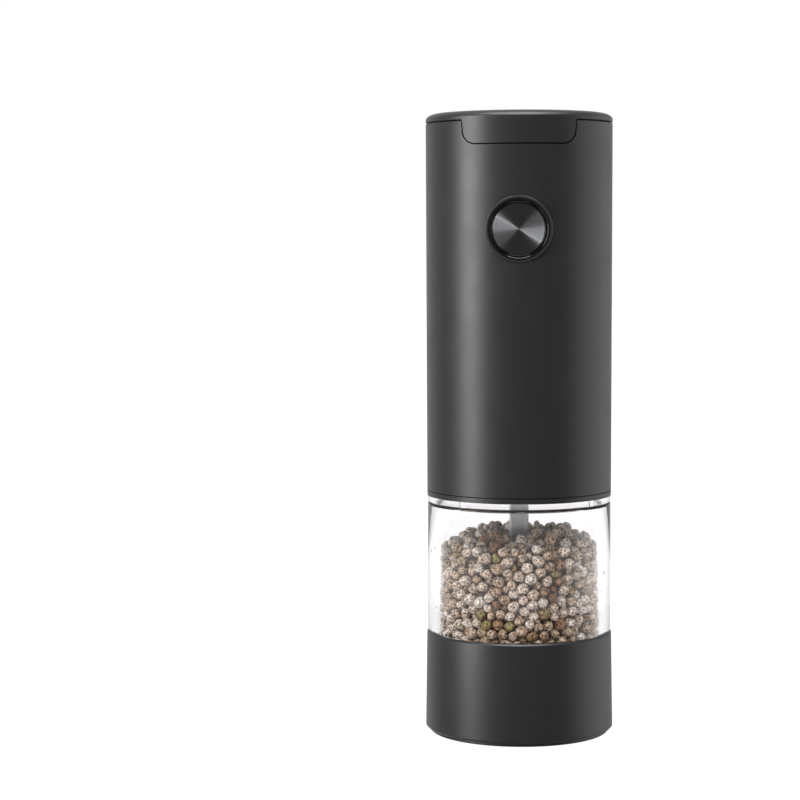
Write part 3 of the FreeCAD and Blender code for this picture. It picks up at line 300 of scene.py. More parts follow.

# %% [markdown]
# ## Peppercorn husk
# A black peppercorn is a dried berry. Its skin shrinks on the seed and folds into a net of ridges. The ridges
# show the corn's colour, and the folds are painted nearly black as painted shade. Distance-to-edge Voronoi
# cells, bent by noise, draw that net at its real size of about 1 mm. Each corn carries its own number from 0 to
# 1, which picks its colour.

# %% Peppercorn husk
def peppercorn_husk():
    material, tree, shader, place = blank("dried_peppercorn_husk")
    wobble = add(tree, "ShaderNodeTexNoise", Vector=place, Scale=per_mm(1.0), Detail=2.0)
    bent = add(tree, "ShaderNodeVectorMath", {"operation": "MULTIPLY_ADD"}, _0=wobble.outputs["Color"],
               _1=(0.0016, 0.0016, 0.0016), _2=place)
    net = add(tree, "ShaderNodeTexVoronoi", {"feature": "DISTANCE_TO_EDGE"}, Vector=bent.outputs["Vector"],
              Scale=per_mm(0.88))
    ridge = add(tree, "ShaderNodeMapRange", {"interpolation_type": "SMOOTHSTEP"}, Value=net.outputs["Distance"],
                From_Min=0.03, From_Max=0.26, To_Min=1.0, To_Max=0.0)
    grit = add(tree, "ShaderNodeTexNoise", Vector=place, Scale=per_mm(0.45), Detail=3.0)
    own = add(tree, "ShaderNodeAttribute", {"attribute_name": "corn_pick"})
    lit = add(tree, "ShaderNodeValToRGB", Fac=own.outputs["Fac"])
    fold_shade = add(tree, "ShaderNodeValToRGB", Fac=own.outputs["Fac"])
    # the second list is painted shade: the same corn colours darkened for the folds
    ridge_stops = [(0.0, "#8a6040"), (0.22, "#b08a68"), (0.245, "#aca268"), (0.27, "#c0a284"), (0.5, "#dcc4ac"),
                   (0.75, "#efdfce"), (1.0, "#faf2ea")]
    fold_shade_stops = [(0.0, "#1c0f08"), (0.22, "#2c1a10"), (0.245, "#332b14"), (0.27, "#382418"), (0.5, "#4c3628"),
                  (0.75, "#6a5444"), (1.0, "#8c7a6c")]
    for ramp, stops in ((lit, ridge_stops), (fold_shade, fold_shade_stops)):
        while len(ramp.color_ramp.elements) < len(stops):
            ramp.color_ramp.elements.new(0.5)
        for element, (at, code) in zip(ramp.color_ramp.elements, stops):
            element.position = at
            element.color = colour(code)
    speck = add(tree, "ShaderNodeMapRange", Value=grit.outputs["Fac"], From_Min=0.32, From_Max=0.68,
                To_Min=-0.45, To_Max=0.45)
    blend = add(tree, "ShaderNodeMath", {"operation": "ADD", "use_clamp": True}, _0=ridge.outputs["Result"],
                _1=speck.outputs["Result"])
    # painted shade: the mix darkens the folds, and the ridges keep the corn's own colour
    skin = add(tree, "ShaderNodeMix", {"data_type": "RGBA"}, _0=blend.outputs["Value"],
               _6=fold_shade.outputs["Color"], _7=lit.outputs["Color"])
    height = add(tree, "ShaderNodeMath", {"operation": "MULTIPLY_ADD"}, _0=grit.outputs["Fac"], _1=0.5,
                 _2=ridge.outputs["Result"])
    bump = add(tree, "ShaderNodeBump", Strength=1.0, Distance=0.3 * MM, Height=height.outputs["Value"])
    feed(tree, shader, Base_Color=skin.outputs[2], Normal=bump.outputs["Normal"])
    shader.inputs["Roughness"].default_value = 0.36
    return material


finishes["peppercorn"] = peppercorn_husk()
missing = {p["material_slot"] for p in frame["record"]["subparts"]} - set(finishes)
print("finishes:", len(finishes), "slots without one:", missing)

# %% [markdown]
# ## Dress the CAD nodes
# Each CAD node names a material slot in the record. Hidden mechanics such as the gears keep their CAD shape,
# so the loop below only swaps their material. The pieces that show are rebuilt further down.

# %% Dress the CAD nodes
slot_of = {p["node"]: p["material_slot"] for p in frame["record"]["subparts"]}
for node_name, node_object in frame["nodes"].items():
    node_object.data.materials.clear()
    node_object.data.materials.append(finishes[slot_of[node_name]])
print("dressed", len(slot_of), "nodes")


# %% [markdown]
# ## Turning smooth solids
# Nearly every outside piece is round, so one function spins a closed outline into a mesh with enough sides
# to look smooth. A second one first rounds the outline's corners, because no moulded edge is truly sharp and
# the small round is what catches the light. The outlines are in millimetres and the meshes in metres.

# %% Turning and rounding
SIDES = 192


def soften(outline, radius, steps=3):
    """Rounds every corner of a closed outline that is off the axis."""
    rounded = []
    for i, point in enumerate(outline):
        before, corner, after = Vector(outline[i - 1]), Vector(point), Vector(outline[(i + 1) % len(outline)])
        back, on = before - corner, after - corner
        angle = back.angle(on)
        if corner.x < 0.01 or angle > math.radians(172):
            rounded.append(tuple(corner))
            continue
        reach = min(radius / math.tan(angle / 2), 0.45 * back.length, 0.45 * on.length)
        start, end = corner + back.normalized() * reach, corner + on.normalized() * reach
        for k in range(steps + 1):
            t = k / steps
            rounded.append(tuple((1 - t) ** 2 * start + 2 * t * (1 - t) * corner + t * t * end))
    return rounded


def quarter(r0, z0, r1, z1, steps=14):
    """Points on a quarter ellipse from (r0, z0), going up first, to (r1, z1)."""
    turns = [math.pi / 2 * k / steps for k in range(steps + 1)]
    return [(r1 + (r0 - r1) * math.cos(t), z0 + (z1 - z0) * math.sin(t)) for t in turns]


def divide(outline, longest):
    """Splits long straight runs, so that cuts made later stay local."""
    points = []
    for i, point in enumerate(outline):
        start, end = Vector(point), Vector(outline[(i + 1) % len(outline)])
        pieces = max(1, math.ceil((end - start).length / longest))
        points += [tuple(start.lerp(end, k / pieces)) for k in range(pieces)]
    return points


def link_mesh(name, bm):
    """Makes an object of a bmesh, with its faces outwards."""
    bmesh.ops.recalc_face_normals(bm, faces=bm.faces)
    mesh = bpy.data.meshes.new(name)
    bm.to_mesh(mesh)
    bm.free()
    obj = bpy.data.objects.new(name, mesh)
    bpy.context.scene.collection.objects.link(obj)
    return obj


def turn(name, outline, sides=SIDES, facing=None):
    """Spins a closed outline of (radius, height) in mm about Z, or about the line along Y at height facing."""
    bm = bmesh.new()
    rings = []
    for r, z in outline:
        count = 1 if r < 1e-6 else sides
        rings.append([bm.verts.new((r * MM * math.cos(2 * math.pi * k / sides),
                                    r * MM * math.sin(2 * math.pi * k / sides), z * MM)) for k in range(count)])
    for low, high in zip(rings, rings[1:] + rings[:1]):
        for k in range(sides):
            after = k + 1
            corners = list(dict.fromkeys([low[k % len(low)], low[after % len(low)], high[after % len(high)],
                                          high[k % len(high)]]))
            if len(corners) > 2:
                bm.faces.new(corners)
    if facing is not None:
        bm.transform(Matrix.Translation((0, 0, facing * MM)) @ Matrix.Rotation(-math.pi / 2, 4, "X"))
    return link_mesh(name, bm)


def block(name, low, high):
    """A box between two corners in mm, used as a cutter."""
    bm = bmesh.new()
    bmesh.ops.create_cube(bm, size=1.0)
    low, high = Vector(low) * MM, Vector(high) * MM
    for v in bm.verts:
        v.co = Vector([low[i] if v.co[i] < 0 else high[i] for i in range(3)])
    return link_mesh(name, bm)


def settle(obj):
    """Turns an object's live modifiers into its plain mesh."""
    graph = bpy.context.evaluated_depsgraph_get()
    mesh = bpy.data.meshes.new_from_object(obj.evaluated_get(graph))
    obj.modifiers.clear()
    obj.data = mesh
    return obj


def carve(obj, tool, how="DIFFERENCE"):
    """Cuts, joins or intersects with a second mesh, which is used up."""
    modifier = obj.modifiers.new("carve", "BOOLEAN")
    modifier.operation = how
    modifier.solver = "EXACT"
    modifier.object = tool
    settle(obj)
    bpy.data.objects.remove(tool)
    return obj


def dress(obj, slot_name, body, *nodes, crease=35):
    """Gives a finished piece its material and smooth shading, and puts it in place of its CAD nodes."""
    obj.data.materials.clear()
    obj.data.materials.append(finishes[slot_name])
    obj.data.shade_smooth()
    obj.data.set_sharp_from_angle(angle=math.radians(crease))
    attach(obj, body)
    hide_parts(*nodes)
    print(obj.name, len(obj.data.polygons), "faces")
    return obj


def true_round(obj):
    """Gives the faces of a nearly upright cylinder exact outward normals, so that a cut leaves no smear."""
    mesh = obj.data
    mesh.update()
    normals = []
    corner_normals = [n.vector.copy() for n in mesh.corner_normals]
    for face in mesh.polygons:
        for loop in face.loop_indices:
            at = mesh.vertices[mesh.loops[loop].vertex_index].co
            outward = Vector((at.x, at.y, 0)).normalized()
            along = face.normal.dot(outward)
            exact = along > 0.98 and abs(face.normal.z) < 0.02 and face.area > 0
            normals.append(outward if exact else corner_normals[loop])
    mesh.normals_split_custom_set(normals)
    return obj


print("turning tools ready, sides per circle:", SIDES)

# %% [markdown]
# ## The grinder base
# The base is a plain sleeve that widens very slightly towards the table and stands on a narrower foot. Its
# top rim has a narrow bevel that shows as one thin bright line where the clear jar comes out of it. A spun
# outline gives all of this at once.

# %% Grinder base
BASE_TOP_Z = 29.7
sleeve = [(25.8, 0.2), (26.1, 0.5), (26.1, 1.3), (26.85, 1.3), (27.35, 1.8), (26.95, BASE_TOP_Z - 0.5),
          (26.55, BASE_TOP_Z), (24.7, BASE_TOP_Z), (24.7, 11.5), (23.5, 11.5), (23.5, 0.2), (23.85, 0.2),
          (23.85, 1.1), (24.6, 1.1), (24.6, 0.2)]
base_sleeve = turn("base_sleeve", soften(sleeve, 0.15))
dress(base_sleeve, "satin_black_abs", "base", "base_shell", crease=50)

# %% [markdown]
# ## The clear jar
# The jar is one thick-walled tube. It steps in to a neck that plugs into the head, and four ribs on the neck
# key the head against turning. The four are unevenly spaced, so the head fits one way round only, and each is
# a small block joined to the tube by a Boolean, which keeps the clear wall one closed solid.

# %% Clear jar
JAR_SHOULDER_Z, NECK_TOP_Z, NECK_R, KEY_R, KEY_WIDTH = 67.2, 75.5, 24.2, 24.65, 1.8
KEY_ANGLES = (45, 135, 231, 324)
tube = [(23.2, 17.5), (24.6, 17.5), (24.6, BASE_TOP_Z + 0.05), (26.45, BASE_TOP_Z + 0.05),
        (26.7, BASE_TOP_Z + 0.35), (26.7, JAR_SHOULDER_Z - 0.3), (26.4, JAR_SHOULDER_Z),
        (NECK_R, JAR_SHOULDER_Z), (NECK_R, NECK_TOP_Z - 0.4), (NECK_R - 0.4, NECK_TOP_Z), (23.4, NECK_TOP_Z),
        (23.2, NECK_TOP_Z - 0.2)]
jar = turn("clear_jar", soften(tube, 0.15))
for angle in KEY_ANGLES:
    rib = block("rib", (NECK_R - 0.5, -KEY_WIDTH / 2, JAR_SHOULDER_Z - 0.2),
                (KEY_R, KEY_WIDTH / 2, NECK_TOP_Z - 2))
    rib.data.transform(Matrix.Rotation(math.radians(angle), 4, "Z"))
    carve(jar, rib, "UNION")
dress(jar, "clear_acrylic", "base", "jar")
jar.visible_shadow = False        # light reaches the peppercorns straight through the thin clear wall

# %% [markdown]
# A thin black rubber gasket lies on the jar's shoulder. It shows as the dark line between the two clear parts.

# %% Gasket on the jar's shoulder
GASKET_TOP_Z = 67.7
gasket = turn("jar_gasket", soften([(26.5, JAR_SHOULDER_Z), (26.5, GASKET_TOP_Z), (24.8, GASKET_TOP_Z),
                                    (24.8, JAR_SHOULDER_Z)], 0.1))
dress(gasket, "black_silicone", "base", "mouth_gasket")

# %% [markdown]
# ## The clear ring under the head
# A second clear ring is snapped into the head's flange, just above the gasket. Slots in it take the jar's
# ribs, and they show as short upright marks.

# %% Clear ring
LOCK_TOP_Z, BEAD_TOP_Z = 69.5, 70.2
lock = turn("clear_lock_ring", soften([(24.3, GASKET_TOP_Z), (26.65, GASKET_TOP_Z), (26.65, LOCK_TOP_Z),
                                       (26.0, LOCK_TOP_Z), (26.0, BEAD_TOP_Z), (25.3, BEAD_TOP_Z),
                                       (25.3, LOCK_TOP_Z), (24.3, LOCK_TOP_Z)], 0.1))
for angle in KEY_ANGLES:
    slot_tool = block("slot", (23.2, -KEY_WIDTH / 2 - 0.1, 67), (KEY_R + 0.1, KEY_WIDTH / 2 + 0.1, 69.52))
    slot_tool.data.transform(Matrix.Rotation(math.radians(angle), 4, "Z"))
    carve(lock, slot_tool)
dress(lock, "clear_acrylic", "head", "lock_ring")
lock.visible_shadow = False

# %% [markdown]
# ## The head's shell
# The shell is a tall tube with a trace of draft, and three openings: the button's hole, the cut-out for the
# lid's front tab, and the notch for the hinge at the back. The tube is turned with many rings first, so each
# Boolean cut only disturbs the faces beside it, and exact normals keep the reflection straight up to the
# edge of the hole.

# %% Head shell
SEAM_Z, SHELL_Z, SHELL_R_IN = 177.0, 71.05, 25.2
HEAD_R_TOP, HEAD_R_BOTTOM = 27.0, 26.8
TAB_HALF = HEAD_R_TOP * math.sin(math.radians(37.4))
TAB_BOTTOM_Z, TAB_CORNER, LID_GAP = 170.7, 3.4, 0.35
HINGE_Y, HINGE_Z, KNUCKLE_R, NOTCH_HALF = 26.0, 176.0, 1.0, 7.6


def tab_prism(name, grow, top):
    """The tab's outline seen from the front, pushed through the front wall."""
    half, low, corner, lean = TAB_HALF + grow, TAB_BOTTOM_Z - grow, TAB_CORNER + grow, 0.7
    turns = [math.pi / 2 * k / 8 for k in range(9)]
    right = [(half - lean - corner + corner * math.sin(t), low + corner - corner * math.cos(t)) for t in turns]
    outline = right + [(half, top)] + [(-half, top)] + [(-x, z) for x, z in reversed(right)]
    bm = bmesh.new()
    face = bm.faces.new([bm.verts.new((x * MM, -30 * MM, z * MM)) for x, z in outline])
    pushed = bmesh.ops.extrude_face_region(bm, geom=[face])
    bmesh.ops.translate(bm, verts=[g for g in pushed["geom"] if isinstance(g, bmesh.types.BMVert)],
                        vec=(0, 16 * MM, 0))
    return link_mesh(name, bm)


def rod_x(name, radius, half_length):
    """A round bar along X on the hinge's axis."""
    bm = bmesh.new()
    bmesh.ops.create_cone(bm, cap_ends=True, segments=32, radius1=radius * MM, radius2=radius * MM,
                          depth=2 * half_length * MM)
    bm.transform(Matrix.Translation((0, HINGE_Y * MM, HINGE_Z * MM)) @ Matrix.Rotation(math.pi / 2, 4, "Y"))
    return link_mesh(name, bm)


wall = [(SHELL_R_IN, SHELL_Z), (HEAD_R_BOTTOM, SHELL_Z), (HEAD_R_TOP, SEAM_Z), (SHELL_R_IN, SEAM_Z)]
shell = turn("head_shell", divide(soften(wall, 0.15), 2.5))
hole = turn("hole", [(0, -40), (9.55, -40), (9.55, 0), (0, 0)], 96, BUTTON_Z)
carve(shell, hole)
carve(shell, tab_prism("tab_opening", LID_GAP, SEAM_Z + 5))
carve(shell, block("notch", (-NOTCH_HALF, 20, HINGE_Z - KNUCKLE_R - 0.5), (NOTCH_HALF, 30, SEAM_Z + 5)))
tongue = block("tongue", (-3.3, 25.2, HINGE_Z - KNUCKLE_R - 2.5), (3.3, 26.8, HINGE_Z))
carve(tongue, rod_x("knuckle", KNUCKLE_R, 3.3), "UNION")
carve(shell, tongue, "UNION")
carve(shell, rod_x("bore", 0.6, 15))
dress(shell, "satin_black_abs", "head", "body_shell", crease=40)
true_round(shell)

# %% [markdown]
# ## The battery lid
# The lid is a shallow cap with a soft shoulder and a slightly sunk top. Its front carries a tab for the
# thumb, cut to the same outline as the opening in the shell but smaller all round, so a thin dark gap shows.
# A lip inside the rim drops into the shell and keeps dust out. At the back two knuckles run on the hinge pin.

# %% Battery lid
EDGE_Z, TOP_Z, INNER_Z, TAB_R_IN = 178.1, 180.0, 178.3, 25.3
LIP_Z, LIP_R, LIP_R_IN = 176.2, 24.8, 23.9
SUNK = 0.35
cap_outline = [(0, INNER_Z), (LIP_R_IN, INNER_Z), (LIP_R_IN, LIP_Z), (LIP_R, LIP_Z), (LIP_R, SEAM_Z + LID_GAP),
               (26.85, SEAM_Z + LID_GAP), (HEAD_R_TOP, SEAM_Z + LID_GAP + 0.15)]
cap_outline += quarter(HEAD_R_TOP, EDGE_Z, 23.0, TOP_Z)
cap_outline += [(22.6, TOP_Z), (22.35, TOP_Z - 0.08), (22.15, TOP_Z - 0.27), (21.9, TOP_Z - SUNK),
                (0, TOP_Z - SUNK)]
lid = turn("battery_lid", divide(cap_outline, 4.0))
tab_wall = [(TAB_R_IN, TAB_BOTTOM_Z - 1), (HEAD_R_TOP, TAB_BOTTOM_Z - 1), (HEAD_R_TOP, EDGE_Z - 0.2),
            (TAB_R_IN, EDGE_Z - 0.2)]
tab = turn("tab", divide(soften(tab_wall, 0.05), 2.0))
carve(tab, tab_prism("tab_outline", 0, TOP_Z), "INTERSECT")
carve(lid, tab, "UNION")
carve(lid, block("gap", (-NOTCH_HALF + 0.3, HINGE_Y - 1.9, SEAM_Z - 2), (NOTCH_HALF - 0.3, 30, TOP_Z + 1)))
for side in (-1, 1):
    low_x, high_x = sorted((side * 3.6, side * (NOTCH_HALF - 0.9)))
    web = block("web", (low_x, HINGE_Y - 2.6, HINGE_Z + 0.2), (high_x, HINGE_Y - 0.3, EDGE_Z + 0.6))
    carve(web, block("relief", (low_x - 1, HINGE_Y - 4, HINGE_Z - 1),
                     (high_x + 1, HINGE_Y - 0.9, SEAM_Z + LID_GAP)))
    barrel = rod_x("barrel", KNUCKLE_R, (high_x - low_x) / 2)
    barrel.data.transform(Matrix.Translation(((low_x + high_x) / 2 * MM, 0, 0)))
    carve(web, barrel, "UNION")
    carve(lid, web, "UNION")
carve(lid, rod_x("bore", 0.66, 15))
dress(lid, "satin_black_abs", "battery_lid", "lid", crease=40)
true_round(lid)

# %% [markdown]
# ## The push button
# A polished black ring frames the button. Inside it sits a black cap that carries the spun metal disc. All
# three are turned about a line that points at the viewer. The disc has a bright cut edge and is dished by a
# tenth of a millimetre, which spreads the highlight.

# %% Push button
FACE_Y = -26.95                                 # front of the ring
CAP_Y = FACE_Y + 0.15                           # front of the cap
SEAT_Y, BUTTON_SIDES = CAP_Y + 0.55, 128        # the disc's seat in the cap
ring_outline = soften([(7.95, FACE_Y), (9.5, FACE_Y), (9.5, -22.4), (11.1, -22.4), (11.1, -21.4), (7.95, -21.4)],
                      0.45, 6)
bezel = turn("button_ring", ring_outline, BUTTON_SIDES, BUTTON_Z)
dress(bezel, "gloss_black_abs", "head", "button_bezel", crease=50)
rim = [(0, SEAT_Y), (7.43, SEAT_Y), (7.43, CAP_Y), (7.75, CAP_Y), (7.75, -21.3), (8.85, -21.3), (8.85, -20.5)]
stalk = [(6.55, -20.5), (6.55, CAP_Y + 2.2), (2.2, CAP_Y + 2.2), (2.2, -20.02), (0, -20.02)]
cap = turn("button_cap_black", soften(rim + stalk, 0.1), BUTTON_SIDES, BUTTON_Z)
dress(cap, "gloss_black_abs", "button", "button_cap", crease=50)
DISC_R, DISH, DISC_RINGS = 7.4, 0.12, 24
face_rings = [(DISC_R * k / DISC_RINGS, CAP_Y + DISH - DISH * (k / DISC_RINGS) ** 2) for k in range(DISC_RINGS)]
disc_outline = face_rings + [(7.12, CAP_Y + 0.005), (DISC_R, CAP_Y + 0.24), (DISC_R, SEAT_Y), (0, SEAT_Y)]
metal_disc = turn("button_disc_spun", disc_outline, BUTTON_SIDES, BUTTON_Z)
dress(metal_disc, "spun_aluminium", "button", "button_disc", crease=20)

# %% [markdown]
# ## The button's spring
# The spring behind the button is the one hidden piece that changes shape. Its back end stays on the switch
# board while its front end moves in with the button. A merged copy of the coil, with a mesh of its own, takes
# its place.

# %% Button spring
bm = bmesh.new()
bm.from_mesh(frame["nodes"]["button_spring"].data)
bmesh.ops.remove_doubles(bm, verts=bm.verts, dist=0.001 * MM)
coil = link_mesh("button_spring_coil", bm)
dress(coil, slot_of["button_spring"], "head", "button_spring", crease=50)
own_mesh(coil)


# %% [markdown]
# ## Packing the peppercorns
# Loose corns could be scattered by hand, but a jar shows how they nest: they touch the wall, lean on each
# other and leave dark gaps. A short settling step gives that. It drops over two thousand balls of different
# sizes into the jar, pushes overlapping ones apart again and again, and keeps them inside the wall, outside
# the feed bell and under the heap's surface. The random numbers have a fixed seed, so every run is the same.

# %% Packing
JAR_BORE, FLOOR_Z, BELL_R, SHAFT_ROOM = 23.19, 17.5, 13.8, 3.9
SMALLEST, LARGEST = 1.2, 1.8        # corn radii in mm
NEIGHBOUR = 4.8                     # balls nearer than this, centre to centre, are watched
FALL = 0.03                         # mm that a ball sinks at each step


def heap_height(x, y):
    """The heap's surface in mm: low at the shaft and at the wall, lower on the left."""
    r = np.hypot(x, y)
    curve = np.interp(r, [0, 4, 9, 14, 18, 21, 23.2], [60.6, 61.4, 63.6, 63.4, 62.4, 61.0, 59.2])
    return curve + 1.5 * x / JAR_BORE - 1.3 * np.exp(-((x - 2.4) / 2.6) ** 2)


def core_radius(z):
    """How far the bell, the hub and the shaft keep the corns from the axis at height z."""
    heights = [0, 32, 36, 38.5, 41.5, 48.5, 49.5, 80]
    return np.interp(z, heights, [BELL_R, BELL_R, 12.6, 10, 6.4, 6.4, SHAFT_ROOM, SHAFT_ROOM])


def pack_corns(count, steps, seed):
    """Centres and radii in mm of balls that rest against each other."""
    rng = np.random.RandomState(seed)
    radii = rng.uniform(SMALLEST, LARGEST, count)
    angle, reach = rng.uniform(0, 2 * np.pi, count), np.sqrt(rng.uniform(0.08, 1, count)) * (JAR_BORE - 2)
    at = np.column_stack([reach * np.cos(angle), reach * np.sin(angle), rng.uniform(FLOOR_Z + 2, 61, count)])
    first = second = None
    for step in range(steps):
        if step % 6 == 0:
            gap = at[:, None, :] - at[None, :, :]
            near = np.einsum("ijk,ijk->ij", gap, gap) < NEIGHBOUR ** 2
            first, second = np.nonzero(np.triu(near, 1))
        apart = at[first] - at[second]
        distance = np.sqrt((apart ** 2).sum(1)) + 1e-9
        lap = np.clip(radii[first] + radii[second] - distance, 0, None)
        push = apart / distance[:, None] * (0.5 * lap)[:, None] * 0.8
        np.add.at(at, first, push)
        np.add.at(at, second, -push)
        if step < steps * 0.6:
            at[:, 2] -= FALL
        r = np.hypot(at[:, 0], at[:, 1]) + 1e-9
        wanted = np.clip(r, core_radius(at[:, 2]) + radii, JAR_BORE - radii)
        at[:, :2] *= (wanted / r)[:, None]
        ceiling = heap_height(at[:, 0], at[:, 1]) - radii
        at[:, 2] = np.clip(at[:, 2], FLOOR_Z + radii, ceiling)
    return at, radii, float(lap.max())


CORNS, SETTLING_STEPS, PACKING_SEED = 2350, 300, 7
corn_at, corn_radius, worst = pack_corns(CORNS, SETTLING_STEPS, PACKING_SEED)
print("corns:", len(corn_at), "largest overlap in mm:", round(worst, 2))

# %% [markdown]
# ## Growing the peppercorns
# Each ball becomes a corn by Geometry Nodes: the tree puts one of four dented corn shapes on every point,
# turns it at random and scales it to its ball. The corns are small in the picture, so eighty faces each are
# enough and the wrinkles are left to the husk's bump.

# %% Corn shapes
DENTS = 9


def corn_shape(name, seed):
    """A dented ball of radius 1, with 80 faces."""
    rng = np.random.RandomState(seed)
    bm = bmesh.new()
    bmesh.ops.create_icosphere(bm, subdivisions=2, radius=1.0)
    dents = rng.normal(size=(DENTS, 3))
    dents /= np.linalg.norm(dents, axis=1)[:, None]
    depth = rng.uniform(0.05, 0.17, DENTS)
    stretch = rng.uniform(0.92, 1.08, 3)
    for v in bm.verts:
        unit = np.array(v.co.normalized())
        close = np.clip(dents @ unit, 0, 1) ** 6
        v.co = Vector(unit * (1.05 - (close * depth).sum()) * stretch)
    for f in bm.faces:
        f.smooth = True
    return link_mesh(name, bm)


shapes = [corn_shape(f"corn_shape_{k}", 30 + k) for k in range(4)]
print("corn shapes:", len(shapes), "faces each:", len(shapes[0].data.polygons))

# %% [markdown]
# The tree takes the balls' centres as points. Each point carries two numbers: its radius, which scales the
# corn, and its place in the husk's colour ramps. Darker, browner corns are more common in two upright bands, as
# painted shade for the dark streaks that the jar's wall makes by refraction.

# %% Corns on points
def corn_tree():
    """Geometry Nodes: a corn on every point."""
    tree = bpy.data.node_groups.new("corns_on_points", "GeometryNodeTree")
    face = tree.interface
    face.new_socket("Geometry", in_out="INPUT", socket_type="NodeSocketGeometry")
    size = face.new_socket("Corn size", in_out="INPUT", socket_type="NodeSocketFloat")
    seed = face.new_socket("Turning seed", in_out="INPUT", socket_type="NodeSocketInt")
    skin = face.new_socket("Husk", in_out="INPUT", socket_type="NodeSocketMaterial")
    face.new_socket("Geometry", in_out="OUTPUT", socket_type="NodeSocketGeometry")
    given = add(tree, "NodeGroupInput")
    kinds = add(tree, "GeometryNodeGeometryToInstance")
    for shape in shapes:
        info = add(tree, "GeometryNodeObjectInfo", Object=shape)
        tree.links.new(info.outputs["Geometry"], kinds.inputs[0])
    radius = add(tree, "GeometryNodeInputNamedAttribute", {"data_type": "FLOAT"}, Name="corn_radius")
    scale = add(tree, "ShaderNodeMath", {"operation": "MULTIPLY"}, _0=radius.outputs[0],
                _1=given.outputs["Corn size"])
    turning = add(tree, "FunctionNodeRandomValue", {"data_type": "FLOAT_VECTOR"}, _0=(0, 0, 0),
                  _1=(2 * math.pi,) * 3, Seed=given.outputs["Turning seed"])
    kind = add(tree, "FunctionNodeRandomValue", {"data_type": "INT"}, Seed=given.outputs["Turning seed"])
    kind.inputs[4].default_value = 0
    kind.inputs[5].default_value = len(shapes) - 1
    placed = add(tree, "GeometryNodeInstanceOnPoints", Points=given.outputs["Geometry"],
                 Instance=kinds.outputs[0], Pick_Instance=True, Instance_Index=kind.outputs[2],
                 Rotation=turning.outputs[0], Scale=scale.outputs[0])
    real = add(tree, "GeometryNodeRealizeInstances", Geometry=placed.outputs["Instances"])
    skinned = add(tree, "GeometryNodeSetMaterial", Geometry=real.outputs["Geometry"],
                  Material=given.outputs["Husk"])
    add(tree, "NodeGroupOutput", Geometry=skinned.outputs["Geometry"])
    return tree, {"size": size.identifier, "seed": seed.identifier, "skin": skin.identifier}


rng = np.random.RandomState(11)
points = bpy.data.meshes.new("peppercorns")
points.from_pydata([tuple(p * MM) for p in corn_at], [], [])
points.attributes.new("corn_radius", "FLOAT", "POINT").data.foreach_set("value", corn_radius * MM)
# painted shade: corns in these two upright bands are drawn darker and browner, standing in for the dark streaks
# that the jar's wall makes by refraction
SHADE_STREAK_BANDS = ((-5.6, 2.6), (8.4, 2.4))        # middle and half width in mm along X
streak = sum(np.exp(-((corn_at[:, 0] - middle) / half) ** 2) for middle, half in SHADE_STREAK_BANDS)
pick = np.clip(rng.beta(3.0, 1.7, CORNS) - 0.6 * streak * rng.uniform(0.4, 1, CORNS), 0, 1)
points.attributes.new("corn_pick", "FLOAT", "POINT").data.foreach_set("value", pick)
corns = bpy.data.objects.new("peppercorns", points)
bpy.context.scene.collection.objects.link(corns)
tree, sockets = corn_tree()
grow = corns.modifiers.new("grow", "NODES")
grow.node_group = tree
grow[sockets["size"]] = 1.0
grow[sockets["seed"]] = 5
grow[sockets["skin"]] = finishes["peppercorn"]
corns.update_tag()
settle(corns)
for shape in shapes:
    bpy.data.objects.remove(shape)
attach(corns, "base")
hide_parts("pepper_fill")
print("peppercorns:", len(corns.data.polygons), "faces")

# %% [markdown]
# ## Stage and studio light
# The mill stands on a plain pale floor in front of a white background. The floor glows a little, as a light
# table does, so it meets the background without a line. It doesn't show in glossy reflections and casts no
# shadow.

# %% Floor
FLOOR_R = 4.0        # metres
bm = bmesh.new()
bmesh.ops.create_circle(bm, cap_ends=True, segments=96, radius=FLOOR_R)
floor = link_mesh("studio_floor", bm)
paper, tree, shader, place = blank("matt_white_paper")
fibre = add(tree, "ShaderNodeTexNoise", Vector=place, Scale=per_mm(2.0), Detail=2.0)
tone = add(tree, "ShaderNodeMapRange", Value=fibre.outputs["Fac"], To_Min=0.10, To_Max=0.12)
feed(tree, shader, Base_Color=tone.outputs["Result"])
shader.inputs["Roughness"].default_value = 0.9
shader.inputs["Emission Color"].default_value = (1, 1, 1, 1)
shader.inputs["Emission Strength"].default_value = 0.985
floor.data.materials.append(paper)
floor.visible_glossy = False
floor.visible_shadow = False
print("floor radius in m:", FLOOR_R)

# %% [markdown]
# ## Softboxes
# Black plastic shows only what it reflects, so the lights are shaped like the strips of a product studio. A
# tall softbox on the left makes the long highlight, a dimmer one below it carries that highlight down, and
# one overhead picks out the upper edges. Light linking keeps all three off the clear pieces, so no hard glare
# hides the peppercorns, and off the button's face, which has three small cards of its own. One more box
# brightens only the peppercorns.

# %% Softboxes
def softbox(name, at, width, height, radiance):
    """A rectangular area light with an even radiance, level and facing the mill's axis. Sizes are in metres."""
    data = bpy.data.lights.new(name, "AREA")
    data.shape = "RECTANGLE"
    data.size, data.size_y = width, height
    data.energy = radiance * math.pi * width * height
    light = bpy.data.objects.new(name, data)
    bpy.context.scene.collection.objects.link(light)
    light.location = at
    light.rotation_euler = (Vector((0, 0, at[2])) - Vector(at)).to_track_quat("-Z", "Y").to_euler()
    light.visible_camera = False
    return light


def shine_on(group_name, pieces, *lights):
    """Lets the lights reach these pieces only."""
    group = bpy.data.collections.new(group_name)
    for piece in pieces:
        group.objects.link(piece)
    for light in lights:
        light.light_linking.receiver_collection = group


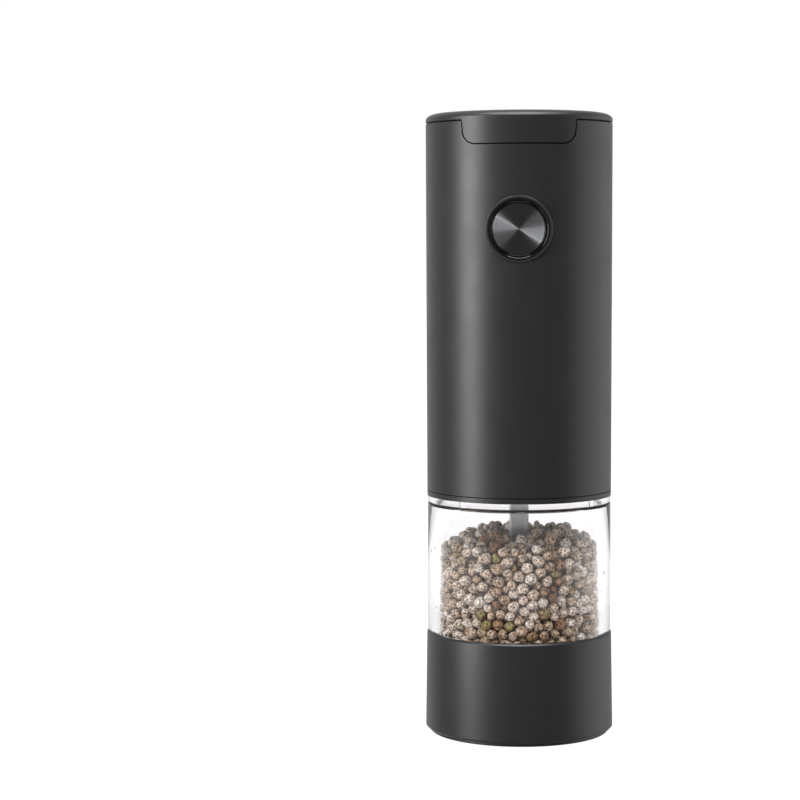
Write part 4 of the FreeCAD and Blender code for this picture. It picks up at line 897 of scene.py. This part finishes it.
left = softbox("left_strip", (-0.785, -0.425, 0.34), 0.32, 0.62, 13.0)
lower_left = softbox("left_lower_strip", (-0.785, -0.425, -0.36), 0.32, 0.76, 3.0)
overhead = softbox("overhead", (0.0, -0.35, 1.3), 1.0, 1.2, 8.0)
overhead.rotation_euler = (0, 0, 0)        # straight down
fill = softbox("jar_fill", (0.42, -0.55, 0.2), 0.5, 0.4, 4.2)
lit_pieces = [piece for piece in bpy.context.scene.collection.all_objects
              if piece.type == "MESH" and piece not in (jar, lock, metal_disc)]
shine_on("lit_by_the_strips", lit_pieces, left, lower_left, overhead)
shine_on("lit_peppercorns", [corns], fill)
print("strips light", len(lit_pieces), "pieces")

# %% [markdown]
# The cards stand at 45 degrees to the button's axis. On spun metal each makes two wedges, one towards it and
# one opposite. The narrow bright card gives the sharp edge, the wide one the bright wedge below it, and the
# dim one the grey wedge after that.

# %% Cards for the button
CARD_DISTANCE, CARD_LENGTH = 0.7, 0.5        # metres


def button_card(name, clock, half_turn, radiance):
    """A card towards clock degrees, anticlockwise from the right, that fills half_turn degrees each side."""
    at = math.radians(clock)
    reach = CARD_DISTANCE * math.sin(math.pi / 4)
    place_at = Vector((math.cos(at) * reach, FACE_Y * MM - reach, BUTTON_Z * MM + math.sin(at) * reach))
    card = softbox(name, place_at, CARD_LENGTH, 2 * reach * math.tan(math.radians(half_turn)), radiance)
    to_button = (Vector((0, FACE_Y * MM, BUTTON_Z * MM)) - place_at).normalized()
    across = Vector((-math.sin(at), 0, math.cos(at)))
    along = across.cross(-to_button)
    card.rotation_euler = Matrix((along, across, -to_button)).transposed().to_euler()
    return card


cards = [button_card("button_card_edge", 149.5, 1.5, 30.0), button_card("button_card_wide", 168.0, 17.0, 8.0),
         button_card("button_card_dim", 206.0, 17.0, 2.0)]
shine_on("lit_button_disc_spun", [metal_disc], *cards)

# %% [markdown]
# ## The surroundings
# The world is white to the camera. For light and reflections it is dark in front of the mill, with a broad
# soft glow on the right and another behind. Seen through the clear jar it is white straight behind and greyer
# to the sides, which draws the jar's grey edges.

# %% World
world = bpy.data.worlds.new("studio_room")
world.use_nodes = True
bpy.context.scene.world = world
tree = world.node_tree
tree.nodes.clear()
direction = add(tree, "ShaderNodeTexCoord").outputs["Generated"]


def glow(azimuth, start, full, strength):
    """Brightness that rises smoothly towards a direction, measured from the camera's side, turning right."""
    turn_to = math.radians(azimuth)
    along = add(tree, "ShaderNodeVectorMath", {"operation": "DOT_PRODUCT"}, _0=direction,
                _1=(math.sin(turn_to), -math.cos(turn_to), 0.0))
    return add(tree, "ShaderNodeMapRange", {"interpolation_type": "SMOOTHSTEP"}, Value=along.outputs["Value"],
               From_Min=start, From_Max=full, To_Min=0.0, To_Max=strength).outputs["Result"]


behind = add(tree, "ShaderNodeMath", {"operation": "ADD"},
             _0=glow(azimuth=-165, start=0.4, full=0.95, strength=0.6), _1=0.14)
room_light = add(tree, "ShaderNodeMath", {"operation": "ADD"},
                 _0=glow(azimuth=105, start=0.66, full=1.0, strength=1.15), _1=behind.outputs["Value"])
room = add(tree, "ShaderNodeBackground", Color=room_light.outputs["Value"], Strength=1.0)
through = add(tree, "ShaderNodeMath", {"operation": "ADD"},
              _0=glow(azimuth=180, start=0.25, full=0.8, strength=0.94), _1=0.06)
path = add(tree, "ShaderNodeLightPath")
screen = add(tree, "ShaderNodeMath", {"operation": "MAXIMUM"}, _0=path.outputs["Is Camera Ray"],
             _1=through.outputs["Value"])
white = add(tree, "ShaderNodeBackground", Color=screen.outputs["Value"], Strength=1.0)
seen = add(tree, "ShaderNodeMath", {"operation": "MAXIMUM"}, _0=path.outputs["Is Camera Ray"],
           _1=path.outputs["Is Transmission Ray"])
mixed = add(tree, "ShaderNodeMixShader", _0=seen.outputs[0], _1=room.outputs[0], _2=white.outputs[0])
add(tree, "ShaderNodeOutputWorld", Surface=mixed.outputs[0])
print("world ready")
